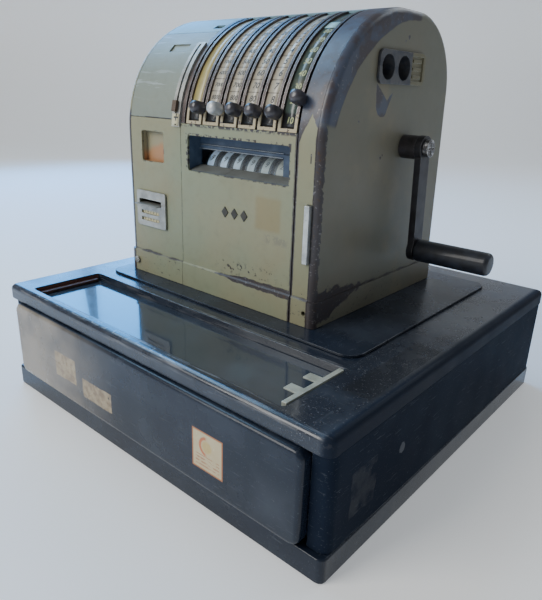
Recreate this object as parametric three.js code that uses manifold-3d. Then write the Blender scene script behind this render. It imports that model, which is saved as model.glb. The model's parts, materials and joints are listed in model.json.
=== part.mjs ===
// Crank-operated cash register: a rounded steel casing with six setting levers,
// standing on a low cabinet with a cash drawer. Millimetres, +Z up, front towards -Y.
// Origin: the middle of the footprint, on the surface the register stands on.
import * as THREE from 'three';
import { mergeVertices } from 'three/addons/utils/BufferGeometryUtils.js';
import Module from 'manifold-3d';

const wasm = await Module();
wasm.setup();

// ---- Driving dimensions ----
const GAP = 0.3;            // clearance between pieces that touch
const SHEET = 2.5;          // thickness of the casing's sheet steel
const ARC_STEP = 5;         // degrees between the points of a large arc
const ROUND_SIDES = 20;     // sides of a plain round part
const EDGE_STEPS = 3;       // steps in a rounded edge

// cabinet
const BASE_W = 440;
const BASE_D = 430;
const BASE_H = 121.8;
const DRAWER_PROUD = 5;     // the drawer's face stands in front of the lid and plinth
const PLINTH_H = 22.4;
const LID_T = 15;
const WALL = 3;
const CABINET_SET_BACK = 0.6; // cabinet walls behind the lid's and plinth's edges
const POST_SET_BACK = 5;    // front posts behind the lid's front
const POST_W = 17.8;        // front post on each side of the drawer
const DRAWER_BACK = 165;

// coin tray sunk in the lid
const TRAY_X = [-185.7, 168.9];
const TRAY_Y = [-201, -120];
const TRAY_DEPTH = 12;
const TRAY_PLATE_T = 4;

// casing
const CASE_X = [-169.4, 102.2];
const CASE_FRONT = -80;
const CASE_BACK_TOP = 143;  // the back leans out towards its foot
const CASE_BACK_FOOT = 152;
const CHEEK_DEPTH = 6.5;    // the side covers are shallow pans with rounded rims
const CHEEK_EDGE = 5.5;
const ARCH_R = 120;         // front arch, round the levers' axis
const ARCH_Z = 287;
const REAR_R = 75;          // rear arch
const PLATE_X = [-185, 165];
const PLATE_Y = [-104.5, 181.5];
const PLATE_T = 2.3;
const SKIRT_H = 25.6;
const SKIRT_PROUD = 1.5;
const SEAM_LEFT = -78.4;    // between the left panels and the centre
const SEAM_RIGHT = 75.5;    // between the centre and the right strip
const SEAM_GAP = 1.2;       // the right seam stands open
const CROWN_SEAM = 57;      // degrees above the levers' horizontal
const ARCH_SEAM = 6.6;

// setting levers and their columns
const LEVERS = 6;
const FIRST_COLUMN = -70.3; // left edge of the first column
const PITCH = 24.25;
const RIB_W = 3;
const SLOT_W = 2.8;
const COLUMN_ANGLES = [5.5, 77];
const SLOT_ANGLES = [9, 72];
const RIB_R = 119.7;
const BED_R = [113.6, 117.2]; // curved bed that carries the number strips
const LEVER_REST = 12.5;    // degrees above horizontal
const LEVER_STEP = 6;       // degrees between two digits
const LEVER_ARM = [1.8, 8]; // thickness and height of a lever's arm
const LEVER_HUB_R = 9;
const LEVER_SHAFT_R = 4;
const KNOB_R = 6.2;
const KNOB_L = 14.5;
const KNOB_START = 120.5;

// indicator
const WINDOW_X = [-68, 67];
const WINDOW_Z = [252, 287];
const PANE_X = [WINDOW_X[0], 46]; // the pane ends short of the window's right side
const HOOD_BACK = -60;
const WHEEL_R = 20;
const WHEEL_PITCH = (PANE_X[1] - PANE_X[0]) / LEVERS;
const WHEEL_W = WHEEL_PITCH - 3.4;
const WHEEL_AXIS = [-38, 252];
const WHEEL_SHAFT_R = 3;

// crank
const CRANK_AXIS = [57.5, 283.7];
const CRANK_RADIUS = 104;
const CRANK_LEAN = 4;       // degrees the resting arm leans to the back
const CRANK_SHAFT_R = 6;
const BUSH_R = 11.5;
const BUSH_L = 17;
const CRANK_ARM_T = 7;
const CRANK_ARM_W = 18;
const GRIP_R = 11.5;
const GRIP_END = 205;
const GEAR_MODULE = 3;
const CRANK_TEETH = 12;
const MAIN_TEETH = 24;

// ---- Derived places ----
const LID_FRONT = -(BASE_D + DRAWER_PROUD) / 2 + DRAWER_PROUD;
const LID_Y = [LID_FRONT, LID_FRONT + BASE_D];
const BASE_X = [-BASE_W / 2, BASE_W / 2];
const DRAWER_FACE = LID_FRONT - DRAWER_PROUD;
const LID_BOTTOM = BASE_H - LID_T;
const CABINET_Z = [PLINTH_H + GAP, LID_BOTTOM - GAP];
const CABINET_X = BASE_W / 2 - CABINET_SET_BACK;
const CABINET_Y = [LID_FRONT + POST_SET_BACK, LID_Y[1] - CABINET_SET_BACK];
const OPENING_X = CABINET_X - POST_W;
const PLATE_Z = [BASE_H + GAP, BASE_H + GAP + PLATE_T];
const CASE_Z = PLATE_Z[1] + GAP;
const ARCH_Y = CASE_FRONT + ARCH_R;
const TOP_Z = ARCH_Z + ARCH_R;
const REAR_Y = CASE_BACK_TOP - REAR_R;
const REAR_Z = TOP_Z - REAR_R;
const INNER_X = [CASE_X[0] + CHEEK_DEPTH + GAP, CASE_X[1] - CHEEK_DEPTH - GAP];
const FRAME_LEFT_X = [-101, -98];
const FRAME_RIGHT_X = [80.5, 83.5];
const SHAFT_X = [FRAME_LEFT_X[0] - 1, FRAME_RIGHT_X[1] + 1];
const THROUGH = 20;         // how far a cutting tool reaches past the skin that it cuts

// ---- Shape helpers ----
const radians = THREE.MathUtils.degToRad;

// Each axis maps an outline's two directions and its depth on to the part's axes.
const ALONG = {
  X: new THREE.Matrix4().makeBasis(
    new THREE.Vector3(0, 1, 0), new THREE.Vector3(0, 0, 1), new THREE.Vector3(1, 0, 0)),
  Y: new THREE.Matrix4().makeBasis(
    new THREE.Vector3(1, 0, 0), new THREE.Vector3(0, 0, 1), new THREE.Vector3(0, -1, 0)),
  Z: new THREE.Matrix4(),
};

function solidOf(geometry) {
  const bare = geometry.index ? geometry.toNonIndexed() : geometry.clone();
  bare.deleteAttribute('normal');
  bare.deleteAttribute('uv');
  const merged = mergeVertices(bare, 1e-4);
  return new wasm.Manifold(new wasm.Mesh({
    numProp: 3,
    vertProperties: new Float32Array(merged.attributes.position.array),
    triVerts: new Uint32Array(merged.index.array),
  }));
}

function geometryOf(solid) {
  const mesh = solid.getMesh();
  const geometry = new THREE.BufferGeometry();
  geometry.setAttribute('position', new THREE.BufferAttribute(mesh.vertProperties, 3));
  geometry.setIndex(new THREE.BufferAttribute(mesh.triVerts, 1));
  return geometry;
}

function join(...solids) {
  return solids.reduce((whole, piece) => whole.add(piece));
}

function cut(solid, ...tools) {
  return tools.reduce((rest, tool) => rest.subtract(tool), solid);
}

function block([x0, x1], [y0, y1], [z0, z1]) {
  const geometry = new THREE.BoxGeometry(x1 - x0, y1 - y0, z1 - z0);
  geometry.translate((x0 + x1) / 2, (y0 + y1) / 2, (z0 + z1) / 2);
  return solidOf(geometry);
}

// Extrudes an outline along X (outline in Y, Z), Y (in X, Z) or Z (in X, Y),
// between two places on that axis. edge rounds both rims of the extrusion.
function prism(outline, axis, [from, to], edge = 0) {
  const shape = new THREE.Shape(outline.map(([a, b]) => new THREE.Vector2(a, b)));
  const geometry = new THREE.ExtrudeGeometry(shape, {
    depth: to - from - 2 * edge,
    bevelEnabled: edge > 0,
    bevelThickness: edge,
    bevelSize: edge,
    bevelOffset: -edge,
    bevelSegments: EDGE_STEPS,
  });
  geometry.translate(0, 0, axis === 'Y' ? edge - to : edge + from);
  geometry.applyMatrix4(ALONG[axis]);
  return solidOf(geometry);
}

function arcPoints([a, b], radius, from, to, step = ARC_STEP) {
  const count = Math.max(1, Math.ceil(Math.abs(to - from) / step));
  const points = [];
  for (let i = 0; i <= count; i += 1) {
    const angle = radians(from + ((to - from) * i) / count);
    points.push([a + radius * Math.cos(angle), b + radius * Math.sin(angle)]);
  }
  return points;
}

function circle(centre, radius, sides = ROUND_SIDES) {
  return arcPoints(centre, radius, 0, 360 - 360 / sides, 360 / sides);
}

function roundedRect([a0, a1], [b0, b1], radius, step = 30) {
  return [
    ...arcPoints([a1 - radius, b0 + radius], radius, -90, 0, step),
    ...arcPoints([a1 - radius, b1 - radius], radius, 0, 90, step),
    ...arcPoints([a0 + radius, b1 - radius], radius, 90, 180, step),
    ...arcPoints([a0 + radius, b0 + radius], radius, 180, 270, step),
  ];
}

function rod([y, z], radius, rangeX, sides = ROUND_SIDES) {
  return prism(circle([y, z], radius, sides), 'X', rangeX);
}

function grow([low, high], by) {
  return [low - by, high + by];
}

// A sector of a ring round the levers' axis, its angles measured up from the front.
function archSector([inner, outer], [from, to], rangeX) {
  const centre = [ARCH_Y, ARCH_Z];
  const outline = [
    ...arcPoints(centre, outer, 180 - from, 180 - to),
    ...arcPoints(centre, inner, 180 - to, 180 - from),
  ];
  return prism(outline, 'X', rangeX);
}

// ---- Casing profile ----
// Side view of the casing, set in from its outer skin: upright front, front arch,
// short flat top, smaller rear arch, upright back.
function caseOutline(inset, bottom) {
  return [
    [CASE_FRONT + inset, bottom],
    ...arcPoints([ARCH_Y, ARCH_Z], ARCH_R - inset, 180, 90),
    ...arcPoints([REAR_Y, REAR_Z], REAR_R - inset, 90, 0),
    [CASE_BACK_FOOT - inset, bottom],
  ];
}

function caseSkin(rangeX) {
  const outer = prism(caseOutline(0, CASE_Z), 'X', rangeX);
  const inner = prism(caseOutline(SHEET, CASE_Z - 1), 'X', grow(rangeX, 1));
  return cut(outer, inner);
}

// Everything between two directions from the levers' axis, both measured from the front.
function wedge([from, to], rangeX) {
  return archSector([1, 3 * ARCH_R], [from, to], rangeX);
}

function frontSkirt(rangeX) {
  const top = CASE_Z + SKIRT_H;
  const outline = [
    [CASE_FRONT + SHEET / 2, CASE_Z],
    [CASE_FRONT + SHEET / 2, top + SKIRT_PROUD],
    [CASE_FRONT, top + SKIRT_PROUD],
    [CASE_FRONT - SKIRT_PROUD, top],
    [CASE_FRONT - SKIRT_PROUD, CASE_Z],
  ];
  return prism(outline, 'X', rangeX);
}

function frontPanel(rangeX, topAngle) {
  const skin = caseSkin(rangeX).intersect(wedge([-60, topAngle], grow(rangeX, 1)));
  return join(skin, frontSkirt(rangeX));
}

// A hole through the front panels, seen from the front.
function frontHole(rangeX, rangeZ, radius) {
  const reach = THROUGH / 2;
  return prism(roundedRect(rangeX, rangeZ, radius), 'Y', grow([CASE_FRONT, CASE_FRONT], reach));
}

// A side cover: a shallow pan with a rounded rim, and the skirt band round its foot.
// side is -1 on the left and 1 on the right; face is the pan's outer plane.
function cheek(side, face) {
  const place = (a, b) => (side > 0 ? [face + a, face + b] : [face - b, face - a]);
  const far = 3 * CHEEK_EDGE;
  const wide = [-2 * far, far];
  const below = CASE_Z - 2 * CHEEK_EDGE;
  const floor = block(place(...wide), [-BASE_D, BASE_D], [0, CASE_Z]);
  const open = block(place(-2 * far, -CHEEK_DEPTH), [-BASE_D, BASE_D], [0, TOP_Z + 1]);
  const pan = prism(caseOutline(0, below), 'X', place(-far, 0), CHEEK_EDGE);
  const hollow = prism(caseOutline(SHEET, below), 'X', place(-far - 1, -SHEET));
  const bandX = place(-far, SKIRT_PROUD);
  const bandY = [CASE_FRONT - SKIRT_PROUD, CASE_BACK_FOOT + SKIRT_PROUD];
  const band = prism(roundedRect(bandX, bandY, CHEEK_EDGE), 'Z', [CASE_Z, CASE_Z + SKIRT_H]);
  return cut(join(pan, band), hollow, open, floor);
}

// ---- Materials ----
function finish(color, roughness, metalness) {
  return () => new THREE.MeshStandardMaterial({ color, roughness, metalness });
}

const olive = finish(0x8b8c78, 0.5, 0.2);
const blackEnamel = finish(0x14181f, 0.25, 0.3);
const blackGlass = finish(0x0d1013, 0.05, 0);
const steel = finish(0x8f9296, 0.4, 0.9);
const paleSteel = finish(0xc9cac4, 0.35, 0.9);
const wornSteel = finish(0x5d5658, 0.5, 0.8);
const wood = finish(0x7a5c3d, 0.7, 0);
const bakelite = finish(0x1a1c22, 0.3, 0);
const ivory = finish(0xe8e4d5, 0.45, 0);
const amber = finish(0xb98a5e, 0.5, 0);
const glass = finish(0xbfcfd4, 0.05, 0);
const paper = finish(0xeee9dc, 0.9, 0);
const brass = finish(0xa98b4d, 0.4, 0.9);

const register = new THREE.Group();

function add(name, solid, material, parent = register) {
  const mesh = new THREE.Mesh(geometryOf(solid), material());
  mesh.name = name;
  parent.add(mesh);
  return mesh;
}

// ---- Cabinet ----
const LID_EDGE = 5;
const LID_CORNER = 8;
const TRAY_CORNER = 4;
const CABINET_CORNER = 8;
const PLINTH_CORNER = 6;
const PLINTH_EDGE = 1.6;
const PLINTH_RIM = 14;      // width of the rim that the cabinet's walls stand on
const LID_RIM = 12;

function slab(rangeX, rangeY, rangeZ, corner, edge) {
  return prism(roundedRect(rangeX, rangeY, corner), 'Z', rangeZ, edge);
}

// A shallow pan with a flat bottom, open at the top inside its rim.
function plinth() {
  const outer = slab(BASE_X, LID_Y, [0, PLINTH_H], PLINTH_CORNER, PLINTH_EDGE);
  return cut(outer, block(grow(BASE_X, -PLINTH_RIM), grow(LID_Y, -PLINTH_RIM), [WALL, BASE_H]));
}

// The hollow under the lid goes round the sunk tray.
function lidHollow() {
  const hollowZ = [LID_BOTTOM - 1, BASE_H - WALL];
  const hollow = block(grow(BASE_X, -LID_RIM), grow(LID_Y, -LID_RIM), hollowZ);
  return cut(hollow, block(grow(TRAY_X, WALL), grow(TRAY_Y, WALL), [0, BASE_H]));
}

function cabinetLid() {
  const rounded = slab(BASE_X, LID_Y, [LID_BOTTOM - 2 * LID_EDGE, BASE_H], LID_CORNER, LID_EDGE);
  const below = block([-BASE_W, BASE_W], [-BASE_D, BASE_D], [0, LID_BOTTOM]);
  const recessZ = [BASE_H - TRAY_DEPTH, BASE_H + 1];
  const recess = prism(roundedRect(TRAY_X, TRAY_Y, TRAY_CORNER), 'Z', recessZ);
  return cut(rounded, below, recess, lidHollow());
}

function cabinetShell() {
  const rangeX = [-CABINET_X, CABINET_X];
  const outer = prism(roundedRect(rangeX, CABINET_Y, CABINET_CORNER), 'Z', CABINET_Z);
  const inner = roundedRect(grow(rangeX, -WALL), grow(CABINET_Y, -WALL), CABINET_CORNER - WALL);
  const inside = prism(inner, 'Z', [0, BASE_H]);
  const frontY = [CABINET_Y[0] - 1, CABINET_Y[0] + WALL + 1];
  return cut(outer, inside, block([-OPENING_X, OPENING_X], frontY, [0, BASE_H]));
}

// A rail on each side wall; the drawer's side flanges rest on it.
const RUNNER_TOP = 44;
const RUNNER_W = 27.4;

function runner() {
  const height = [CABINET_Z[0], RUNNER_TOP];
  const length = [CABINET_Y[0] + WALL + 8, CABINET_Y[1] - CABINET_CORNER];
  return block([-RUNNER_W / 2, RUNNER_W / 2], length, height);
}

// Catch on the back wall, behind the closed drawer: a plate, an arm and its raised nose.
const LATCH_X = [-6, 6];
const LATCH_BACK = CABINET_Y[1] - WALL - GAP;
const LATCH_T = 6;

function drawerLatch() {
  const plateY = [LATCH_BACK - LATCH_T, LATCH_BACK];
  const noseY = [DRAWER_BACK + 15, DRAWER_BACK + 15 + LATCH_T];
  const plate = block(grow(LATCH_X, 14), plateY, [48, 88]);
  const arm = block(LATCH_X, [noseY[0], plateY[0] + 1], [60, 70]);
  const nose = block(LATCH_X, noseY, [60, 78]);
  return join(plate, arm, nose);
}

// ---- Drawer ----
const DRAWER_FRONT_X = OPENING_X - 1;
const DRAWER_FRONT_Z = [CABINET_Z[0] + 1.3, LID_BOTTOM - 0.8];
const DRAWER_FRONT_T = 13;
const DRAWER_CORNER = 9;
const DRAWER_EDGE = 4;
const DRAWER_BOX_X = 184;
const DRAWER_BOX_Z = [30, 96];
const DRAWER_BOX_Y = [DRAWER_FACE + DRAWER_FRONT_T + GAP, DRAWER_BACK];
const DRAWER_WALL = 2.5;
const FLANGE_T = 3;

function drawerFront() {
  const outline = roundedRect([-DRAWER_FRONT_X, DRAWER_FRONT_X], DRAWER_FRONT_Z, DRAWER_CORNER);
  const backY = DRAWER_FACE + DRAWER_FRONT_T;
  const rounded = prism(outline, 'Y', [DRAWER_FACE, backY + 2 * DRAWER_EDGE], DRAWER_EDGE);
  return cut(rounded, block([-BASE_W, BASE_W], [backY, backY + THROUGH], [0, BASE_H]));
}

function drawerBox() {
  const outer = block([-DRAWER_BOX_X, DRAWER_BOX_X], DRAWER_BOX_Y, DRAWER_BOX_Z);
  const innerX = DRAWER_BOX_X - DRAWER_WALL;
  const innerY = grow(DRAWER_BOX_Y, -DRAWER_WALL);
  const inside = block([-innerX, innerX], innerY, [DRAWER_BOX_Z[0] + DRAWER_WALL, BASE_H]);
  const flangeZ = [RUNNER_TOP + GAP, RUNNER_TOP + GAP + FLANGE_T];
  const flange = [innerX + 0.5, DRAWER_FRONT_X];
  const right = block(flange, DRAWER_BOX_Y, flangeZ);
  const left = block([-flange[1], -flange[0]], DRAWER_BOX_Y, flangeZ);
  return join(cut(outer, inside), left, right);
}

// Wooden insert: a row of coin cups in front, note compartments behind.
const COIN_CUPS = 5;
const NOTE_BAYS = 4;
const DIVIDER = 5;
const INSERT_X = DRAWER_BOX_X - DRAWER_WALL - 1;
const INSERT_Y = [DRAWER_BOX_Y[0] + DRAWER_WALL + 1, DRAWER_BOX_Y[1] - DRAWER_WALL - 1];
const INSERT_Z = [DRAWER_BOX_Z[0] + DRAWER_WALL + GAP, 88];
const COIN_ROW_DEPTH = 95;
const COIN_FLOOR = 12;      // thickness of the wood under the coin cups
const NOTE_FLOOR = 4;

function compartmentRow(count, rangeY, floorZ, corner) {
  const width = (2 * INSERT_X - DIVIDER * (count + 1)) / count;
  const cups = [];
  for (let i = 0; i < count; i += 1) {
    const x0 = -INSERT_X + DIVIDER + i * (width + DIVIDER);
    const outline = roundedRect([x0, x0 + width], rangeY, corner);
    cups.push(prism(outline, 'Z', [floorZ, INSERT_Z[1] + 1]));
  }
  return cups;
}

function coinInsert() {
  const coinY = [INSERT_Y[0] + DIVIDER, INSERT_Y[0] + DIVIDER + COIN_ROW_DEPTH];
  const noteY = [coinY[1] + DIVIDER, INSERT_Y[1] - DIVIDER];
  const board = block([-INSERT_X, INSERT_X], INSERT_Y, INSERT_Z);
  const coins = compartmentRow(COIN_CUPS, coinY, INSERT_Z[0] + COIN_FLOOR, 12);
  const notes = compartmentRow(NOTE_BAYS, noteY, INSERT_Z[0] + NOTE_FLOOR, 4);
  return cut(board, ...coins, ...notes);
}

// ---- Coin tray on the lid ----
const TRAY_BAR_W = 4.6;
const TRAY_STRIP_W = 6;
const TONGUE_L = 14;
const TONGUE_W = 10;
const TONGUES = [23, 47];   // places of the two tongues behind the tray's front

function trayPlate() {
  const floor = BASE_H - TRAY_DEPTH + GAP;
  const rangeX = [TRAY_X[0] + GAP, TRAY_X[1] - TRAY_BAR_W - 2 * GAP];
  const outline = roundedRect(rangeX, grow(TRAY_Y, -GAP), TRAY_CORNER);
  return prism(outline, 'Z', [floor, floor + TRAY_PLATE_T]);
}

// A pale bar along the tray's right end, with two tongues over the plate.
function trayBar() {
  const floor = BASE_H - TRAY_DEPTH + GAP;
  const barX = [TRAY_X[1] - TRAY_BAR_W - GAP, TRAY_X[1] - GAP];
  const barY = grow(TRAY_Y, -4);
  const tongueX = [barX[0] - TONGUE_L, barX[0] + 1];
  const tongueZ = [BASE_H - 2, BASE_H - 0.6];
  const bar = block(barX, barY, [floor, BASE_H + 1.2]);
  const tongues = TONGUES.map((place) => {
    const front = TRAY_Y[0] + place;
    return block(tongueX, [front, front + TONGUE_W], tongueZ);
  });
  return join(bar, ...tongues);
}

function trayStrip() {
  const floor = BASE_H - TRAY_DEPTH + TRAY_PLATE_T + 2 * GAP;
  const rangeX = [TRAY_X[0] + 2 * GAP, TRAY_X[0] + 2 * GAP + TRAY_STRIP_W];
  return block(rangeX, grow(TRAY_Y, -5), [floor, floor + 3]);
}

// ---- Casing panels ----
const LEFT_X = [INNER_X[0], SEAM_LEFT - GAP];
const CENTRE_X = [SEAM_LEFT, SEAM_RIGHT - SEAM_GAP];
const RIGHT_X = [SEAM_RIGHT, INNER_X[1]];
const JOURNAL_X = [-144, -107];
const JOURNAL_Z = [255, 287];
const RECEIPT_X = [-154, -104];
const RECEIPT_Z = [182, 222];
const RECEIPT_SLOT_X = [-150, -111];
const RECEIPT_SLOT_Z = [206.5, 212.5];
const SELECTOR_X = -84.9;
const SELECTOR_SLOT_W = 3;
const SELECTOR_ANGLES = [10.5, 45];
const SELECTOR_REST = 2.3;  // degrees above the lower end of its slot
const ARCH_WINDOW_ANGLES = [42.3, 47.3];
const ARCH_WINDOW_X = [-131, -104];
const ARCH_WINDOW_R = [ARCH_R - 1.6, ARCH_R + THROUGH];
const CROWN_SLOT_ANGLES = [60.4, 64.2];
const CROWN_SLOT_X = [-94, -80.5];
const BAR_X = [89.4, 94.6];
const BAR_Z = [186, 239];
const BAR_MIDDLE = (BAR_X[0] + BAR_X[1]) / 2;
const SCREW_Z = 138;
const SCREW_HOLE_R = 2.25;
const REAR_SEAM = 89.5;
const FRONT_Y = grow([CASE_FRONT, CASE_FRONT], THROUGH / 2);
const ARCH_CUT_R = grow([ARCH_R, ARCH_R], THROUGH);

function leftFrontPanel() {
  return cut(
    frontPanel(LEFT_X, ARCH_SEAM),
    frontHole(JOURNAL_X, JOURNAL_Z, 2),
    frontHole(RECEIPT_SLOT_X, RECEIPT_SLOT_Z, 1),
  );
}

function centreFrontPanel() {
  return cut(
    frontPanel(CENTRE_X, COLUMN_ANGLES[0] - 0.2),
    frontHole(WINDOW_X, WINDOW_Z, 3),
  );
}

function rightStrip() {
  const skin = caseSkin(RIGHT_X).intersect(wedge([-60, REAR_SEAM], grow(RIGHT_X, 1)));
  return cut(
    join(skin, frontSkirt(RIGHT_X)),
    frontHole(grow(BAR_X, 0.4), grow(BAR_Z, 0.4), 0.3),
    prism(circle([BAR_MIDDLE, SCREW_Z], SCREW_HOLE_R, 12), 'Y', FRONT_Y),
  );
}

function leftArchShell() {
  const skin = caseSkin(LEFT_X).intersect(
    wedge([ARCH_SEAM + 0.2, CROWN_SEAM], grow(LEFT_X, 1)));
  const slotX = grow([SELECTOR_X, SELECTOR_X], SELECTOR_SLOT_W / 2);
  return cut(
    skin,
    archSector(ARCH_CUT_R, SELECTOR_ANGLES, slotX),
    archSector(ARCH_WINDOW_R, ARCH_WINDOW_ANGLES, ARCH_WINDOW_X),
  );
}

// One sheet over the top: it reaches further down on the left of the columns.
function crownCover() {
  const topX = [LEFT_X[0], CENTRE_X[1]];
  const over = caseSkin(topX).intersect(
    wedge([COLUMN_ANGLES[1] + 0.2, REAR_SEAM], grow(topX, 1)));
  const left = caseSkin(LEFT_X).intersect(
    wedge([CROWN_SEAM + 0.2, REAR_SEAM], grow(LEFT_X, 1)));
  return cut(join(over, left), archSector(ARCH_CUT_R, CROWN_SLOT_ANGLES, CROWN_SLOT_X));
}

function rearCover() {
  const skin = caseSkin(INNER_X);
  const rear = block(grow(INNER_X, 1), [ARCH_Y + GAP, BASE_D], [0, TOP_Z + 1]);
  const skirtY = [CASE_BACK_FOOT - SHEET, CASE_BACK_FOOT + SKIRT_PROUD];
  const skirt = block(INNER_X, skirtY, [CASE_Z, CASE_Z + SKIRT_H]);
  return join(skin.intersect(rear), skirt);
}

const COUNTER_Y = [-6, 79];
const COUNTER_Z = [341, 370];
const COUNTER_HOLES = [9, 37.5];
const COUNTER_HOLE_R = 11;
const COUNTER_MIDDLE = (COUNTER_Z[0] + COUNTER_Z[1]) / 2;
const COUNTER_LIP = 2.5;
const COUNTER_TUBE_T = 1.2;
const COUNTER_FLOOR = 88;   // bottom of the sockets, from the middle of the cabinet
const RIBBED_Y = [52, 74];
const RIBS = 3;
const RIB_STEP = 7;
const CHEEK_CUT_X = grow([CASE_X[1], CASE_X[1]], THROUGH / 2);

function rightCheek() {
  const counter = roundedRect(grow(COUNTER_Y, -2.4), grow(COUNTER_Z, -1.6), 3);
  return cut(
    cheek(1, CASE_X[1]),
    prism(counter, 'X', CHEEK_CUT_X),
    rod(CRANK_AXIS, CRANK_SHAFT_R + 1, CHEEK_CUT_X),
  );
}

// Framed plate on the right cheek: two round sockets and a ribbed panel.
function counterBezel() {
  const lipX = [CASE_X[1] + GAP, CASE_X[1] + GAP + COUNTER_LIP];
  const outside = lipX[1] + THROUGH;
  const tubeX = [COUNTER_FLOOR - 2, lipX[1] - 1];
  const lip = prism(roundedRect(COUNTER_Y, COUNTER_Z, 6), 'X', lipX);
  const round = (y, radius, rangeX) => rod([y, COUNTER_MIDDLE], radius, rangeX);
  const tubes = COUNTER_HOLES.map((y) => round(y, COUNTER_HOLE_R + COUNTER_TUBE_T, tubeX));
  const bores = COUNTER_HOLES.map((y) => round(y, COUNTER_HOLE_R, [COUNTER_FLOOR, outside]));
  const pocket = block([lipX[1] - 1.6, outside], RIBBED_Y, grow(COUNTER_Z, -3.5));
  const ribs = [];
  for (let i = 0; i < RIBS; i += 1) {
    const z = COUNTER_MIDDLE + (i - (RIBS - 1) / 2) * RIB_STEP;
    ribs.push(block([lipX[0], lipX[1] - 0.3], grow(RIBBED_Y, -3), [z - 1.5, z + 1.5]));
  }
  return join(cut(join(lip, ...tubes), ...bores, pocket), ...ribs);
}

// ---- Frame and shafts inside the casing ----
const MAIN_SHAFT_R = 6;
const FRAME_BASE_T = 3;
const FRAME_INSET = 8;      // frame plates inside the casing's sheet
const PAPER_AXIS = [64, 215];
const PAPER_R = 32;
const SPINDLE_R = 5;
const GEAR_X = [85, 91.5];
const GEAR_CENTRES = (GEAR_MODULE * (CRANK_TEETH + MAIN_TEETH)) / 2;
const MAIN_AXIS = [CRANK_AXIS[0], CRANK_AXIS[1] - GEAR_CENTRES];

function mechanismBase() {
  const rangeY = [CASE_FRONT + SHEET + 1, CASE_BACK_FOOT - SHEET - 1];
  return block(INNER_X, rangeY, [CASE_Z, CASE_Z + FRAME_BASE_T]);
}

function framePlate(rangeX) {
  const outline = caseOutline(SHEET + FRAME_INSET, CASE_Z + FRAME_BASE_T + GAP);
  const wide = grow(rangeX, 1);
  return cut(
    prism(outline, 'X', rangeX),
    rod([ARCH_Y, ARCH_Z], LEVER_SHAFT_R + GAP, wide),
    rod(WHEEL_AXIS, WHEEL_SHAFT_R + GAP, wide),
    rod(MAIN_AXIS, MAIN_SHAFT_R + GAP, wide),
  );
}

function rightFramePlate() {
  const crankHole = rod(CRANK_AXIS, CRANK_SHAFT_R + GAP, grow(FRAME_RIGHT_X, 1));
  return cut(framePlate(FRAME_RIGHT_X), crankHole);
}

// ---- Lever columns ----
// Curved bed with two ribs and an end stop per column, slotted for the levers,
// and a plain margin beside the first column.
function columnRails() {
  const bed = archSector(BED_R, COLUMN_ANGLES, CENTRE_X);
  const marginX = [SEAM_LEFT, FIRST_COLUMN - SLOT_W];
  const margin = archSector([BED_R[0], ARCH_R], COLUMN_ANGLES, marginX);
  const pieces = [margin];
  const slots = [];
  for (let i = 0; i < LEVERS; i += 1) {
    const left = FIRST_COLUMN + i * PITCH;
    const right = left + PITCH - SLOT_W;
    const ribR = [BED_R[1] - 0.2, RIB_R];
    pieces.push(archSector(ribR, COLUMN_ANGLES, [left, left + RIB_W]));
    pieces.push(archSector(ribR, COLUMN_ANGLES, [right - RIB_W, right]));
    const stopAngles = [COLUMN_ANGLES[0], COLUMN_ANGLES[0] + 1.4];
    pieces.push(archSector(ribR, stopAngles, [left, right]));
    slots.push(archSector(ARCH_CUT_R, SLOT_ANGLES, [right, right + SLOT_W + 0.1]));
  }
  return cut(join(bed, ...pieces), ...slots);
}

// The hub and arm of a lever that turns on the lever shaft, pointing straight to the front.
function leverArm([thickness, height], hubW, reach) {
  const hub = rod([0, 0], LEVER_HUB_R, [-hubW / 2, hubW / 2]);
  const armZ = [-height / 2, height / 2];
  const arm = block([-thickness / 2, thickness / 2], [-reach, 2 - LEVER_HUB_R], armZ);
  return join(cut(hub, rod([0, 0], LEVER_SHAFT_R + GAP, [-hubW, hubW])), arm);
}

function settingLever() {
  const round = 4;
  const profile = [
    [0, 0], [KNOB_R - 0.6, 0], [KNOB_R, 0.8],
    ...arcPoints([KNOB_R - round, KNOB_L - round], round, 0, 90, 30),
    [0, KNOB_L],
  ];
  const knob = new THREE.LatheGeometry(profile.map(([a, b]) => new THREE.Vector2(a, b)), 14);
  knob.rotateX(Math.PI);
  knob.translate(0, -KNOB_START, 0);
  return join(leverArm(LEVER_ARM, 10, KNOB_START + 2), solidOf(knob));
}

function selectorLever() {
  const knobStart = ARCH_R + 2.6;
  const knob = block([-3, 3], [-knobStart - 3.4, -knobStart], [-5.5, 5.5]);
  return join(leverArm([2, LEVER_ARM[1]], 6, knobStart + 1), knob);
}

// Two raised curved edges beside the selector's slot, tied by the label plate below.
function selectorGuide() {
  const railR = [ARCH_R + GAP, ARCH_R + 2.2];
  const angles = [SELECTOR_ANGLES[0] - 1.5, SELECTOR_ANGLES[1] + 2];
  const inner = SELECTOR_SLOT_W / 2;
  const rangeX = [SELECTOR_X - inner - 3.6, SEAM_LEFT - GAP];
  const left = archSector(railR, angles, [rangeX[0], SELECTOR_X - inner]);
  const right = archSector(railR, angles, [SELECTOR_X + inner, rangeX[1]]);
  const label = archSector(railR, [3.5, angles[0] + 0.5], rangeX);
  const head = archSector(railR, [angles[1] - 1, angles[1]], rangeX);
  return join(left, right, label, head);
}

// ---- Indicator ----
const SILL_RISE = 5;
const PANE_TOP = 14;       // upper edge of the pane below the top of the window

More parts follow.
